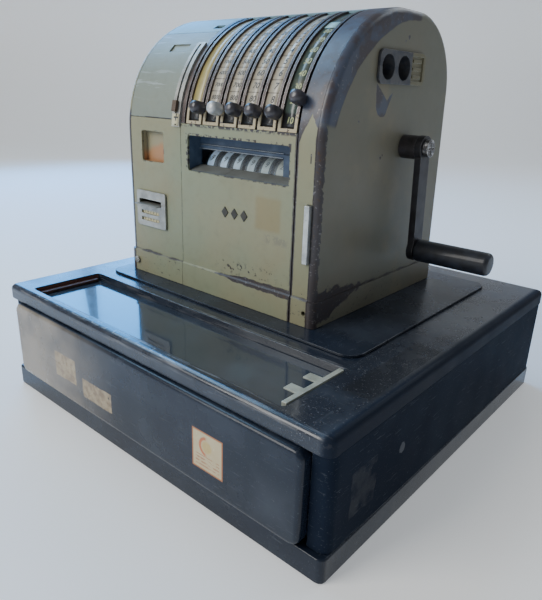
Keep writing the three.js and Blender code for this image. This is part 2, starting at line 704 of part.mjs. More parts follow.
// Funnel behind the window: a sloping sill below, and above the pane a stepped brow.
function indicatorHood() {
  const front = CASE_FRONT + SHEET + GAP;
  const outer = block(grow(WINDOW_X, 3), [front, HOOD_BACK], grow(WINDOW_Z, 3));
  const sill = WINDOW_Z[0] + SILL_RISE;
  const brow = WINDOW_Z[1] - PANE_TOP;
  const throat = [
    [front - 1, WINDOW_Z[0]],
    [HOOD_BACK - 3, sill],
    [HOOD_BACK - 3, brow + 4],
    [HOOD_BACK - 1.5, brow + 4],
    [HOOD_BACK - 1.5, WINDOW_Z[1]],
    [front - 1, WINDOW_Z[1]],
  ];
  const opening = block(PANE_X, [HOOD_BACK - 4, HOOD_BACK + 1], [sill, brow]);
  return cut(outer, prism(throat, 'X', WINDOW_X), opening);
}

function indicatorGlass() {
  const rangeZ = [WINDOW_Z[0] + SILL_RISE + GAP, WINDOW_Z[1] - PANE_TOP - GAP];
  return block(grow(PANE_X, -GAP), [HOOD_BACK - 2, HOOD_BACK - 0.5], rangeZ);
}

function indicatorWheel() {
  const drum = rod([0, 0], WHEEL_R, [-WHEEL_W / 2, WHEEL_W / 2], 30);
  return cut(drum, rod([0, 0], WHEEL_SHAFT_R + GAP, [-WHEEL_W, WHEEL_W], 16));
}

// ---- Receipt side ----
function receiptPlate() {
  const face = CASE_FRONT - GAP;
  const plate = prism(roundedRect(RECEIPT_X, RECEIPT_Z, 2), 'Y', [face - 2.4, face]);
  const small = grow(RECEIPT_SLOT_X, -3.5);
  const openings = [[RECEIPT_SLOT_X, RECEIPT_SLOT_Z], [small, [196, 200]], [small, [188, 192]]];
  return cut(plate, ...openings.map(([x, z]) => frontHole(x, z, 0.8)));
}

// Tear edge: a thin plate that leaves the slot, with saw teeth along its front.
function receiptLip() {
  const front = CASE_FRONT - 9;
  const toothCount = 13;
  const [x0, x1] = grow(RECEIPT_SLOT_X, -1);
  const width = (x1 - x0) / toothCount;
  const outline = [[x1, CASE_FRONT + 6], [x0, CASE_FRONT + 6]];
  for (let i = 0; i < toothCount; i += 1) {
    outline.push([x0 + i * width, front]);
    outline.push([x0 + (i + 0.5) * width, front - 1.6]);
  }
  outline.push([x1, front]);
  const z = RECEIPT_SLOT_Z[0] + GAP;
  return prism(outline, 'Z', [z, z + 1.2]);
}

function journalPocket() {
  const front = CASE_FRONT + SHEET + GAP;
  const tray = block(grow(JOURNAL_X, 3), [front, front + 7], grow(JOURNAL_Z, 3));
  return cut(tray, block(JOURNAL_X, [front - 1, front + 5], JOURNAL_Z));
}

function caseScrew() {
  const face = CASE_FRONT - SKIRT_PROUD - GAP;
  const x = INNER_X[0] + 4.2;
  const head = prism(circle([x, SCREW_Z], 3.8, 16), 'Y', [face - 2.4, face]);
  const slot = block(grow([x, x], 5), [face - 3, face - 1.2], grow([SCREW_Z, SCREW_Z], 0.6));
  return cut(head, slot);
}

// ---- Push bar ----
function pushBar() {
  const inside = CASE_FRONT + SHEET + GAP;
  const bar = block(BAR_X, [CASE_FRONT - 4.5, inside + 2], BAR_Z);
  const collar = block(grow(BAR_X, 3), [inside, inside + 2.5], grow(BAR_Z, 3));
  const stem = block(grow([BAR_MIDDLE, BAR_MIDDLE], 2), [inside + 2, inside + 16], [208, 216]);
  return join(bar, collar, stem);
}

// ---- Crank and its gears ----
const BUSH_X = [CASE_X[1] + GAP, CASE_X[1] + GAP + BUSH_L];
const ARM_X = [BUSH_X[1] + GAP, BUSH_X[1] + GAP + CRANK_ARM_T];
const GRIP_AXIS = [
  CRANK_AXIS[0] + CRANK_RADIUS * Math.sin(radians(CRANK_LEAN)),
  CRANK_AXIS[1] - CRANK_RADIUS * Math.cos(radians(CRANK_LEAN)),
];
const PIN_R = 4;
const PIN_L = 60;

function crankBush() {
  const bore = rod(CRANK_AXIS, CRANK_SHAFT_R + GAP, grow(BUSH_X, 1));
  return cut(rod(CRANK_AXIS, BUSH_R, BUSH_X), bore);
}

function crankArm() {
  const hub = rod(CRANK_AXIS, BUSH_R + 0.5, ARM_X);
  const foot = rod(GRIP_AXIS, GRIP_R, ARM_X);
  const half = CRANK_ARM_W / 2;
  const sideY = half * Math.cos(radians(CRANK_LEAN));
  const sideZ = half * Math.sin(radians(CRANK_LEAN));
  const right = ([y, z]) => [y + sideY, z + sideZ];
  const left = ([y, z]) => [y - sideY, z - sideZ];
  const bar = [right(GRIP_AXIS), right(CRANK_AXIS), left(CRANK_AXIS), left(GRIP_AXIS)];
  const pin = rod(GRIP_AXIS, PIN_R, [ARM_X[0] + 1, ARM_X[1] + PIN_L], 16);
  const arm = join(hub, foot, prism(bar, 'X', ARM_X), pin);
  return cut(arm, rod(CRANK_AXIS, CRANK_SHAFT_R + GAP, grow(ARM_X, 1)));
}

function crankScrew() {
  const rangeX = [ARM_X[1] + GAP, ARM_X[1] + GAP + 5];
  const slotX = [rangeX[1] - 1.6, rangeX[1] + 1];
  const slotL = 6.5;
  const [y, z] = CRANK_AXIS;
  const head = rod(CRANK_AXIS, 8.5, rangeX);
  const flat = block(slotX, grow([y, y], slotL), grow([z, z], 1));
  const upright = block(slotX, grow([y, y], 1), grow([z, z], slotL));
  return cut(head, flat, upright);
}

function crankGrip() {
  const length = GRIP_END - ARM_X[1] - GAP;
  const round = 4;
  const profile = [
    [0, 0], [GRIP_R - 1, 0], [GRIP_R, 1.5],
    ...arcPoints([GRIP_R - round, length - round], round, 0, 90, 30),
    [0, length],
  ];
  const body = new THREE.LatheGeometry(profile.map(([a, b]) => new THREE.Vector2(a, b)), 20);
  body.rotateZ(-Math.PI / 2);
  return cut(solidOf(body), rod([0, 0], PIN_R + GAP, [-1, PIN_L + 2], 16));
}

// A spur gear with straight-flanked teeth and room for backlash.
// Each tooth is drawn by four corners, their places given in parts of the tooth spacing.
function gear([y, z], teeth, phase, boreR) {
  const pitchR = (GEAR_MODULE * teeth) / 2;
  const tipR = pitchR + 0.8 * GEAR_MODULE;
  const rootR = pitchR - 1.25 * GEAR_MODULE;
  const step = 360 / teeth;
  const outline = [];
  for (let i = 0; i < teeth; i += 1) {
    for (const [turn, radius] of [[-0.24, rootR], [-0.11, tipR], [0.11, tipR], [0.24, rootR]]) {
      const angle = radians(phase + (i + turn) * step);
      outline.push([y + radius * Math.cos(angle), z + radius * Math.sin(angle)]);
    }
  }
  return cut(prism(outline, 'X', GEAR_X), rod([y, z], boreR, grow(GEAR_X, 1), 16));
}

// ---- Paper roll ----
const PAPER_X = [-160, -106];

function paperSpindle() {
  return rod(PAPER_AXIS, SPINDLE_R, [PAPER_X[0], FRAME_LEFT_X[0] - GAP], 16);
}

function paperRoll() {
  return cut(rod([0, 0], PAPER_R, PAPER_X), rod([0, 0], SPINDLE_R + GAP, grow(PAPER_X, 1), 16));
}

// ---- Assembly ----
add('plinth', plinth(), blackEnamel);
add('cabinet_shell', cabinetShell(), blackEnamel);
add('cabinet_lid', cabinetLid(), blackEnamel);
add('platform_plate', slab(PLATE_X, PLATE_Y, PLATE_Z, 16, 0), blackEnamel);
add('tray_plate', trayPlate(), blackGlass);
add('tray_bar', trayBar(), paleSteel);
add('tray_strip', trayStrip(), wornSteel);
for (const [side, sign] of [['left', -1], ['right', 1]]) {
  const rail = add(`runner_${side}`, runner(), steel);
  rail.position.x = sign * (CABINET_X - WALL - GAP - RUNNER_W / 2);
}
add('drawer_latch', drawerLatch(), steel);

const drawer = new THREE.Group();
register.add(drawer);
add('drawer_front', drawerFront(), blackEnamel, drawer);
add('drawer_box', drawerBox(), steel, drawer);
add('coin_insert', coinInsert(), wood, drawer);

add('mechanism_base', mechanismBase(), steel);
add('frame_plate_left', framePlate(FRAME_LEFT_X), steel);
add('frame_plate_right', rightFramePlate(), steel);
add('left_cheek', cheek(-1, CASE_X[0]), olive);
add('right_cheek', rightCheek(), olive);
add('left_front_panel', leftFrontPanel(), olive);
add('center_front_panel', centreFrontPanel(), olive);
add('right_strip', rightStrip(), olive);
add('left_arch_shell', leftArchShell(), olive);
add('crown_cover', crownCover(), olive);
add('rear_cover', rearCover(), olive);
add('column_rails', columnRails(), wornSteel);
add('indicator_hood', indicatorHood(), blackEnamel);
add('indicator_glass', indicatorGlass(), glass);
add('receipt_plate', receiptPlate(), paleSteel);
add('receipt_lip', receiptLip(), paleSteel);
add('journal_pocket', journalPocket(), amber);
add('selector_guide', selectorGuide(), paleSteel);
add('counter_bezel', counterBezel(), wornSteel);
add('case_screw', caseScrew(), steel);
add('push_bar', pushBar(), paleSteel);

add('lever_shaft', rod([ARCH_Y, ARCH_Z], LEVER_SHAFT_R, SHAFT_X), steel);
add('indicator_shaft', rod(WHEEL_AXIS, WHEEL_SHAFT_R, SHAFT_X, 16), steel);
for (let i = 0; i < LEVERS; i += 1) {
  const left = FIRST_COLUMN + i * PITCH;
  const raised = i === LEVERS - 1 ? LEVER_STEP : 0; // the last lever stands one digit up
  const lever = add(`set_lever_${i + 1}`, settingLever(), bakelite);
  lever.position.set(left + PITCH - SLOT_W / 2, ARCH_Y, ARCH_Z);
  lever.rotation.x = -radians(LEVER_REST + raised);
  const wheel = add(`indicator_wheel_${i + 1}`, indicatorWheel(), ivory);
  wheel.position.set(PANE_X[0] + (i + 0.5) * WHEEL_PITCH, ...WHEEL_AXIS);
}
const selector = add('selector_lever', selectorLever(), bakelite);
selector.position.set(SELECTOR_X, ARCH_Y, ARCH_Z);
selector.rotation.x = -radians(SELECTOR_ANGLES[0] + SELECTOR_REST);

add('paper_spindle', paperSpindle(), steel);
const roll = add('paper_roll', paperRoll(), paper);
roll.position.set(0, ...PAPER_AXIS);

add('crank_bush', crankBush(), wornSteel);
const crankShaftX = [FRAME_RIGHT_X[0] - 4, ARM_X[1]];
add('crank_shaft', rod(CRANK_AXIS, CRANK_SHAFT_R, crankShaftX), steel);
add('crank_arm', crankArm(), wornSteel);
add('crank_screw', crankScrew(), steel);
const halfTooth = 180 / CRANK_TEETH;
add('crank_gear', gear(CRANK_AXIS, CRANK_TEETH, 90 + halfTooth, CRANK_SHAFT_R + GAP), brass);
const grip = add('crank_grip', crankGrip(), bakelite);
grip.position.set(ARM_X[1] + GAP, ...GRIP_AXIS);
const mainShaftX = [FRAME_LEFT_X[0] - 2, GEAR_X[1] + 2];
add('main_shaft', rod(MAIN_AXIS, MAIN_SHAFT_R, mainShaftX), steel);
add('main_gear', gear(MAIN_AXIS, MAIN_TEETH, 90, MAIN_SHAFT_R + GAP), brass);

export default register;
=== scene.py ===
"""Cash register: materials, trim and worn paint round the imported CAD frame.

Lengths are in millimetres, in the part's own frame, and are scaled to metres where Blender needs them.
"""
import functools
import itertools
import json
import math

import bmesh
import bpy
from mathutils import Matrix, Vector


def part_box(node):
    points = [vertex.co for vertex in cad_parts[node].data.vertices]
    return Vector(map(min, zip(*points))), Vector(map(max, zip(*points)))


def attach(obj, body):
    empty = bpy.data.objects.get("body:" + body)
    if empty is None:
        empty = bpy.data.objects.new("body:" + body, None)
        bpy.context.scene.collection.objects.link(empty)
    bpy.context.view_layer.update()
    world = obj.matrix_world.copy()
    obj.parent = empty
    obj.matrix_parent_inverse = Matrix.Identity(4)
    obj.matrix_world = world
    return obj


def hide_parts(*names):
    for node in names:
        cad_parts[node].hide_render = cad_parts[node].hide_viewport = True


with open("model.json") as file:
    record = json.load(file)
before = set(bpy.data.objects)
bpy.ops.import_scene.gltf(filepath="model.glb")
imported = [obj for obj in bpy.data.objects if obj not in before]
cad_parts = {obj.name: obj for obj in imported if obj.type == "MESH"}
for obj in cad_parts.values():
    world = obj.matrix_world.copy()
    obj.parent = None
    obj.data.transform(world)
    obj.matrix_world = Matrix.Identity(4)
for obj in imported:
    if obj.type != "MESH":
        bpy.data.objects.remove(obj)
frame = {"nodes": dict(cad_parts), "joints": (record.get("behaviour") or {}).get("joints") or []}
NODES = frame["nodes"]
JOINTS = {joint["name"]: joint for joint in frame["joints"]}
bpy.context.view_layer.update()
MM = 0.001


def span(node, axis):
    """The lowest and highest place of a CAD node along an axis, in millimetres."""
    low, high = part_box(node)
    return low["xyz".index(axis)] / MM, high["xyz".index(axis)] / MM


def pivot(joint):
    """Where a hinge's axis lies, in millimetres."""
    return [value / MM for value in JOINTS[joint]["pos_m"]]


# ---- Places taken from the frame ----
LEVERS = 6
ARCH_Y, ARCH_Z = pivot("lever_1_set")[1:]
CASE_FRONT = span("center_front_panel", "y")[0] + 1.5
ARCH_R = ARCH_Y - CASE_FRONT
CASE_X = (span("left_cheek", "x")[0] + 1.5, span("right_cheek", "x")[1] - 1.5)
CASE_TOP = span("right_cheek", "z")[1]
CASE_FOOT = span("right_cheek", "z")[0]
SKIRT_TOP = CASE_FOOT + 25.6
SEAM_RIGHT = span("right_strip", "x")[0]
WINDOW_X = (-68, 67)
WINDOW_Z = (252, 287)
PANE_X = span("indicator_glass", "x")
LID_Y = span("cabinet_lid", "y")
LID_Z = span("cabinet_lid", "z")
TRAY_X = (-185.7, 168.9)
TRAY_Y = (-201, -120)
DRAWER_FACE = span("drawer_front", "y")[0]
SKIRT_PROUD = 1.5
REAR_WALL_TOP = (143, 332)

# lever columns
RIB_W = 3
SLOT_W = 2.8
PITCH = pivot("lever_2_set")[0] - pivot("lever_1_set")[0]
FIRST_COLUMN = pivot("lever_1_set")[0] + SLOT_W / 2 - PITCH
BED_R = 117.2
LEVER_REST = 12.5
DIGIT_STEP = 6


# ---- Shader building ----
class Value:
    """A number that varies over a surface, for sums and products with others and with constants."""

    def __init__(self, shader, socket):
        self.shader = shader
        self.socket = socket

    def __add__(self, other):
        return self.shader.math("ADD", self, other)

    def __sub__(self, other):
        return self.shader.math("SUBTRACT", self, other)

    def __rsub__(self, other):
        return self.shader.math("SUBTRACT", other, self)

    def __mul__(self, other):
        return self.shader.math("MULTIPLY", self, other)

    def __truediv__(self, other):
        return self.shader.math("DIVIDE", self, other)

    def __abs__(self):
        return self.shader.math("ABSOLUTE", self)

    __radd__ = __add__
    __rmul__ = __mul__


class Shader:
    """A procedural material under construction; its places are in millimetres."""

    def __init__(self, name):
        self.material = bpy.data.materials.new(name)
        self.material.use_nodes = True
        self.nodes = self.material.node_tree.nodes
        self.links = self.material.node_tree.links
        self.nodes.clear()
        metres = self.add("ShaderNodeTexCoord").outputs["Object"]
        self.place = self.vector("MULTIPLY", metres, (1000, 1000, 1000))
        axes = self.add("ShaderNodeSeparateXYZ", self.place).outputs
        self.x, self.y, self.z = [Value(self, axis) for axis in axes]

    def add(self, kind, *values, **settings):
        node = self.nodes.new(kind)
        for key, value in settings.items():
            setattr(node, key, value)
        for socket, value in zip(node.inputs, values):
            self.put(socket, value)
        return node

    def put(self, socket, value):
        value = getattr(value, "socket", value)
        if isinstance(value, bpy.types.NodeSocket):
            self.links.new(value, socket)
        elif value is not None:
            socket.default_value = value

    def feed(self, node, **values):
        """Sets inputs by name, so base_color is the input called Base Color."""
        for name, value in values.items():
            self.put(node.inputs[name.replace("_", " ").title().replace("Ior", "IOR")], value)

    def math(self, operation, a, b=0.0):
        return self.value(self.add("ShaderNodeMath", a, b, operation=operation))

    def value(self, node):
        return Value(self, node.outputs[0])

    def most(self, *values):
        return functools.reduce(lambda a, b: self.math("MAXIMUM", a, b), values)

    def least(self, *values):
        return functools.reduce(lambda a, b: self.math("MINIMUM", a, b), values)

    def distance(self, across, up):
        return self.math("SQRT", across * across + up * up)

    def uneven(self, period, seed, amount, detail=5):
        """Noise round 0, up to half an amount either way."""
        return (self.noise(period, seed, detail) - 0.5) * amount

    def vector(self, operation, a, b=None):
        node = self.add("ShaderNodeVectorMath", a, b, operation=operation)
        return node.outputs["Value" if operation == "DOT_PRODUCT" else "Vector"]

    def fade(self, value, low, high):
        """0 at low and 1 at high, with a smooth change; low may be above high."""
        return self.value(self.add("ShaderNodeMapRange", value, low, high, interpolation_type="SMOOTHSTEP"))

    def inside(self, value, limits, soft):
        """1 between the two limits and 0 outside them."""
        rise = self.fade(value, limits[0] - soft, limits[0] + soft)
        return self.least(rise, self.fade(value, limits[1] + soft, limits[1] - soft))

    def area(self, ranges, soft_x, soft_z):
        """1 in a range along x and one along z."""
        return self.inside(self.x, ranges[0], soft_x) * self.inside(self.z, ranges[1], soft_z)

    def noise(self, period, seed=0, detail=3.0, stretch=(1, 1, 1), roughness=0.55):
        """Noise from 0 to 1 whose features are about a period long, longer where stretched."""
        shrink = tuple(1 / (period * factor) for factor in stretch)
        node = self.add("ShaderNodeTexNoise", noise_dimensions="4D")
        place = self.vector("MULTIPLY", self.place, shrink)
        self.feed(node, vector=place, w=seed * 7.3, scale=1.0, detail=detail, roughness=roughness)
        return self.value(node)

    def clouds(self, period, seed, low, high, detail=3.0, stretch=(1, 1, 1)):
        """Soft patches: 0 where the noise is below low and 1 where it is above high."""
        return self.fade(self.noise(period, seed, detail, stretch), low, high)

    def varied(self, base, period, seed, amount, detail=3.0):
        """A base value plus noise of up to an amount."""
        return base + self.noise(period, seed, detail) * amount

    def shift(self, value, amount, period, seed=0):
        """A value made uneven by up to an amount, for ragged borders."""
        return value + self.uneven(period, seed, 2 * amount, 4)

    def spots(self, period, size, seed=0, detail=4.0):
        """Scattered irregular spots; size from 0 for none to 1 for all."""
        level = 0.78 - 0.5 * size
        return self.fade(self.noise(period, seed, detail, roughness=0.6), level, level + 0.02)

    def mix(self, mask, a, b, share=1):
        """Colour a, with b laid over it where the mask is 1, as strongly as the share."""
        node = self.add("ShaderNodeMix", data_type="RGBA")
        self.put(node.inputs[0], mask if share == 1 else mask * share)
        self.put(node.inputs[6], rgba(a))
        self.put(node.inputs[7], rgba(b))
        return node.outputs[2]

    def edges(self, radius):
        """1 on sharp outer and inner edges, fading over the radius."""
        rounded = self.add("ShaderNodeBevel", radius * MM, samples=6).outputs[0]
        flat = self.add("ShaderNodeNewGeometry").outputs["Normal"]
        return self.fade(self.vector("DOT_PRODUCT", rounded, flat), 0.97, 0.7)

    def crevices(self, reach):
        """1 deep in corners and gaps."""
        node = self.add("ShaderNodeAmbientOcclusion", samples=6)
        self.feed(node, distance=reach * MM)
        return self.fade(node.outputs["AO"], 0.55, 0.1)

    def finish(self, color, roughness, metallic=0.0, bumps=(), **extra):
        """Closes the material; bumps are pairs of a height from 0 to 1 and its size in millimetres."""
        normal = None
        for height, size in bumps:
            node = self.add("ShaderNodeBump")
            self.feed(node, height=height, distance=size * MM, normal=normal)
            normal = node.outputs[0]
        shader = self.add("ShaderNodeBsdfPrincipled")
        self.feed(shader, base_color=rgba(color), roughness=roughness, metallic=metallic, normal=normal)
        self.feed(shader, **extra)
        self.add("ShaderNodeOutputMaterial", shader.outputs[0])
        return self.material


def rgba(color):
    if isinstance(color, tuple) and len(color) == 3:
        return (*color, 1.0)
    return color


def shade(color, factor):
    return tuple(factor * value for value in color)


def grain(along, length):
    """How far noise is stretched along each axis to run along one of them."""
    return tuple(length if axis == along else 1 for axis in "xyz")


# ---- Colours (linear) ----
OLIVE = (0.27, 0.262, 0.165)
OLIVE_GREEN = (0.235, 0.262, 0.175)
OLIVE_BROWN = (0.25, 0.21, 0.12)
# Painted light: the next two are olive tinted blue as a painted reflection of the sky, for the arch and the
# crown.
OLIVE_PAINTED_SKY_SHEEN = ((0.215, 0.245, 0.205), (0.20, 0.25, 0.225))
OLIVE_PAINTED_SKY_REFLECTION = ((0.225, 0.365, 0.41), (0.21, 0.375, 0.45))
# Painted shade: olive darkened for the right cheek, whose side lies in shade.
OLIVE_PAINTED_SHADE = ((0.165, 0.15, 0.108), (0.15, 0.148, 0.112))
WARM_OLIVE = ((0.262, 0.245, 0.15), (0.24, 0.245, 0.155))
PRIMER = (0.062, 0.074, 0.108)
BROWN_UNDERCOAT = (0.042, 0.034, 0.034)
BARE_STEEL = (0.30, 0.29, 0.30)
RUST = (0.14, 0.085, 0.05)
NAVY = (0.009, 0.014, 0.027)
DUST = (0.20, 0.22, 0.25)
CREAM = (0.62, 0.56, 0.38)
BROWN_METAL = (0.085, 0.068, 0.066)
CORNER_DARK = (0.035, 0.03, 0.028)
SCORCHED = (0.24, 0.17, 0.055)
LABEL_RED = (0.40, 0.16, 0.07)

# ---- Where paint is worn, stained or covered, or carries painted light, in millimetres along the axis named ----
# CHEEK_BAND_ANGLES are degrees up the arch; CHEEK_CHIPS are y, z and size; STICKERS are x, z and noise seed.
STAIN_X, STAIN_Z = (28, 59.5), (207.5, 238.5)
SMUDGE = (40, 68), (196, 204)
CHIPS = (-18, 42), (156, 168)
DOTS = (30, 72), (152, 176)
JOURNAL_RIM = (-145.2, -105.8), (253.8, 288.2)
BARE_PEAK_X, BARE_PEAK_Z = 87, 315
STAMP = (90.0, 91.2), (274.5, 282.7)
BARE_ABOVE_Z = 300
CHEEK_BAND_ANGLES = (9.5, 103)
CHEEK_CHIPS = ((46, 383, 2.4), (13.6, 275, 1.8), (-29, 308.7, 1.2), (17, 277, 1.5), (40, 379, 1.2))
PATCH_TOP_Z, PATCH_FOOT_Z = 335, 312
PATCH_Y = (-4, 34)
LID_LABELS_Y, LID_LABELS_X, LID_LABEL_PITCH = (-209.5, -203.5), (-165, 60), 34
LID_GRAINS_X = (170, 215)
LID_PAD_X, LID_PAD_Y = (184, 212), (-150, -30)
LID_RIM_X = 212
# The next line places a painted highlight on the drawer's front.
PAINTED_GLEAM_X, PAINTED_GLEAM_Z = (162, 194), (34, 66)
LABEL_X, LABEL_Z = (90, 125), (43, 79)
LABEL_RING_X, LABEL_RING_Z = 107, 66
STICKERS = (((-122, -84), (48, 75), 81), ((-72, -24), (41, 61), 84))
SHELL_PATCH_Y, SHELL_PATCH_Z = (-182, -148), (40, 80)
SHELL_SPOT_Y, SHELL_SPOT_Z = -108, 66


# ---- Enamel of the casing ----
def enamel(name, marks=lambda sh: (), stains_and_sheen=lambda sh: (), paint_and_painted_light=(OLIVE, OLIVE_GREEN), waves=0.0):
    """Olive paint over dark primer. marks gives masks where the paint is gone; the third argument gives
    pairs of a mask and a colour that lie on the paint: stain marks on some parts, painted sky
    reflections on the arch and crown. The paint colours are painted light on some parts: tinted
    blue as a painted sky reflection on the arch and crown, darkened as painted shade on the right cheek."""
    sh = Shader(name)
    # The paint colours; on the arch, crown and right cheek they hold painted light.
    color = sh.mix(sh.clouds(120, 1, 0.38, 0.62, 2), *paint_and_painted_light)
    color = sh.mix(sh.clouds(38, 2, 0.52, 0.75, 4), color, OLIVE_BROWN, 0.35)
    color = sh.mix(sh.clouds(9, 3, 0.45, 0.8, 5), color, (0.10, 0.10, 0.07), 0.16)
    color = sh.mix(sh.spots(1.1, 0.2, 4, 2), color, (0.13, 0.12, 0.08), 0.35)
    # Stain marks on some parts, painted sky reflections on the arch and crown.
    for mask, tint in stains_and_sheen(sh):
        color = sh.mix(mask, color, tint)
    # Darker deep in corners and gaps.
    color = sh.mix(sh.crevices(6), color, CORNER_DARK, 0.75)
    broken = sh.edges(2.2) + sh.uneven(7, 5, 2.2)
    worn = sh.most(sh.fade(broken, 0.80, 0.92), sh.spots(4.5, 0.05, 6), *marks(sh))
    low = sh.fade(sh.z, BARE_ABOVE_Z + 12, BARE_ABOVE_Z - 8)
    grains = sh.noise(2.6, 7, 4) + low * 0.035
    metal = worn * sh.fade(grains, 0.60, 0.68)
    under = sh.mix(sh.clouds(14, 8, 0.4, 0.6), PRIMER, (0.056, 0.047, 0.054))
    under = sh.mix(low, under, BROWN_UNDERCOAT, 0.85)
    color = sh.mix(worn, color, under)
    color = sh.mix(metal, color, sh.mix(sh.clouds(8, 12, 0.45, 0.55), BARE_STEEL, RUST), 0.5)
    roughness = sh.varied(0.36, 25, 9, 0.2, 4) - worn * 0.1
    return sh.finish(
        color, roughness, metal * 0.5,
        bumps=[
            (sh.noise(160, 10, 2), 1.2), (sh.noise(9, 13, 3, grain("x", 9)), waves),
            (sh.noise(5, 11, 2), 0.03), (1.0 - worn, 0.12),
        ],
    )


def arch_angle(sh):
    """Degrees above the levers' axis, measured from the front."""
    return sh.math("DEGREES", sh.math("ARCTAN2", sh.z - ARCH_Z, ARCH_Y - sh.y))


def arch_radius(sh):
    return sh.distance(sh.y - ARCH_Y, sh.z - ARCH_Z)


def skirt_scuff(sh, height, soft=1.0):
    """Worn ledge along the top of the skirt, up to a height above and below it."""
    away = abs(sh.shift(sh.z, 1.2, 9, 21) - (SKIRT_TOP + 1))
    return sh.fade(away + sh.uneven(16, 22, 5, 4), height + soft, height - soft)


def low_chips(sh):
    """Small chips that gather near the foot of the casing."""
    low = sh.fade(sh.z, SKIRT_TOP + 26, SKIRT_TOP - 6)
    return sh.spots(3.4, 0.3, 23) * sh.fade(low * sh.noise(30, 24), 0.25, 0.4)


def center_marks(sh):
    seam = sh.fade(sh.shift(sh.x, 1.3, 6, 31), SEAM_RIGHT - 3.4, SEAM_RIGHT - 1.8)
    growth = 1.2 + sh.fade(sh.x, -60, 30) * 5.0
    away = abs(sh.shift(sh.z, 1.6, 16, 32) - (SKIRT_TOP + 0.5))
    streak = sh.fade(away + sh.noise(12, 33, 5) * 6 - growth, 1.6, 0.6)
    chips = sh.spots(4.5, 0.42, 34) * sh.area(CHIPS, 14, 4)
    dots = sh.spots(3.0, 0.30, 35) * sh.area(DOTS, 12, 8)
    rim_x = sh.inside(sh.x, (WINDOW_X[0] - 2.6, WINDOW_X[1] + 1.4), 0.5)
    rim_z = sh.inside(sh.z, (WINDOW_Z[0] - 1, WINDOW_Z[1] + 2.2), 0.5)
    rim = rim_x * rim_z * sh.clouds(5, 36, 0.50, 0.56, 4)
    top = sh.fade(sh.z, 294.5, 296.8) * sh.clouds(4, 37, 0.46, 0.5, 4)
    return seam, streak, chips, dots, rim, top


def center_stains(sh):
    scorched = sh.inside(sh.shift(sh.x, 2.2, 22, 41), STAIN_X, 2.4) * sh.inside(sh.z, STAIN_Z, 2.4)
    smudge = sh.area(SMUDGE, 3, 2) * sh.spots(3.2, 0.6, 42)
    return (scorched * 0.42, SCORCHED), (smudge * 0.4, (0.14, 0.13, 0.12))


def strip_marks(sh):
    """Bare metal over the arch that ends in a pointed border, and worn seams."""
    left = BARE_PEAK_Z - (BARE_PEAK_X - sh.x) * 2.3
    right = BARE_PEAK_Z - (sh.x - BARE_PEAK_X) * 1.5
    border = sh.shift(sh.least(left, right), 5, 7, 51)
    bare = sh.fade(sh.z - border, -0.8, 0.8)
    seam = sh.fade(sh.shift(sh.x, 0.8, 5, 52), SEAM_RIGHT + 1.7, SEAM_RIGHT + 0.9)
    corner = sh.fade(sh.shift(sh.x, 1.0, 6, 53), CASE_X[1] - 8.2, CASE_X[1] - 7.2)
    stamp = sh.area(STAMP, 0.2, 0.4)
    return bare, seam, corner, stamp, skirt_scuff(sh, 0.9), low_chips(sh)


def right_cheek_marks(sh):
    """A bare band round the arch, a worn front rim, and loose patches and chips."""
    angle = arch_angle(sh)
    swing = (angle - 45) / 60
    width = sh.shift(21 - swing * swing * 17, 2.2, 16, 61)
    flat_top = CASE_TOP - sh.z + sh.fade(sh.y, 60, 40) * 200
    depth = sh.least(ARCH_R - arch_radius(sh), flat_top)
    band = sh.fade(depth - width, 0.7, -0.7) * sh.inside(angle, CHEEK_BAND_ANGLES, 1.2)
    rim = sh.fade(sh.y + sh.uneven(4, 62, 9), CASE_FRONT + 5.6, CASE_FRONT + 4.8)
    rim = rim * sh.fade(sh.z, BARE_ABOVE_Z + 25, BARE_ABOVE_Z)
    loose = sh.spots(5.5, 0.09, 66)
    return band, rim, bezel_patch(sh), cheek_chips(sh), loose, cheek_foot(sh), low_chips(sh)


def bezel_patch(sh):
    """Paint lost below the bezel: a wide and a pointed lobe that run together into a round foot."""
    side = sh.shift(sh.y, 2.6, 10, 63)
    height = sh.shift(sh.z, 2.2, 9, 64)
    drop = PATCH_TOP_Z - height
    left = side - (PATCH_Y[0] + drop * 0.12)
    right = PATCH_Y[1] - 0.5 - (side + drop * 0.75)
    notch = abs(side - 16) * 0.7
    top = PATCH_TOP_Z - 8 + notch - height
    across = side - 8
    round_foot = PATCH_FOOT_Z + across * across * 0.07
    return sh.fade(sh.least(left, right, top, height - round_foot), -0.6, 0.6)


def cheek_chips(sh):
    """Single chips scattered over the crank's side."""
    chips = []
    for y, z, size in CHEEK_CHIPS:
        across = abs(sh.shift(sh.y, 1.6, 3, 69) - y)
        up = abs(sh.shift(sh.z, 1.6, 3, 70) - z)
        chips.append(sh.fade(across + up, size + 0.3, size - 0.3))
    return sh.most(*chips)


def cheek_foot(sh):
    """Scuffed paint over the skirt's ledge that widens towards the front corner."""
    forward = sh.fade(sh.y, 8, CASE_FRONT + 6)
    away = abs(sh.z - (SKIRT_TOP + 1 - forward * 7))
    reach = 0.6 + forward * 15
    scuffed = sh.fade(away + sh.uneven(11, 68, 26) - reach, 0.8, -0.8)
    return sh.most(scuffed * sh.fade(sh.y, 30, 0), skirt_scuff(sh, 0.5))


def left_cheek_marks(sh):
    rim = sh.fade(sh.shift(sh.y, 1.4, 10, 67), CASE_FRONT + 2.2, CASE_FRONT + 1.2)
    return rim, skirt_scuff(sh, 0.6), low_chips(sh)


def left_panel_marks(sh):
    journal = sh.area(JOURNAL_RIM, 0.3, 0.3)
    return skirt_scuff(sh, 0.7), low_chips(sh), journal * sh.clouds(7, 71, 0.56, 0.6, 4)


def arch_marks(sh):
    low = sh.fade(sh.shift(arch_angle(sh), 0.4, 9, 72), 7.3, 7.0)
    return (low * sh.clouds(12, 73, 0.5, 0.55),)


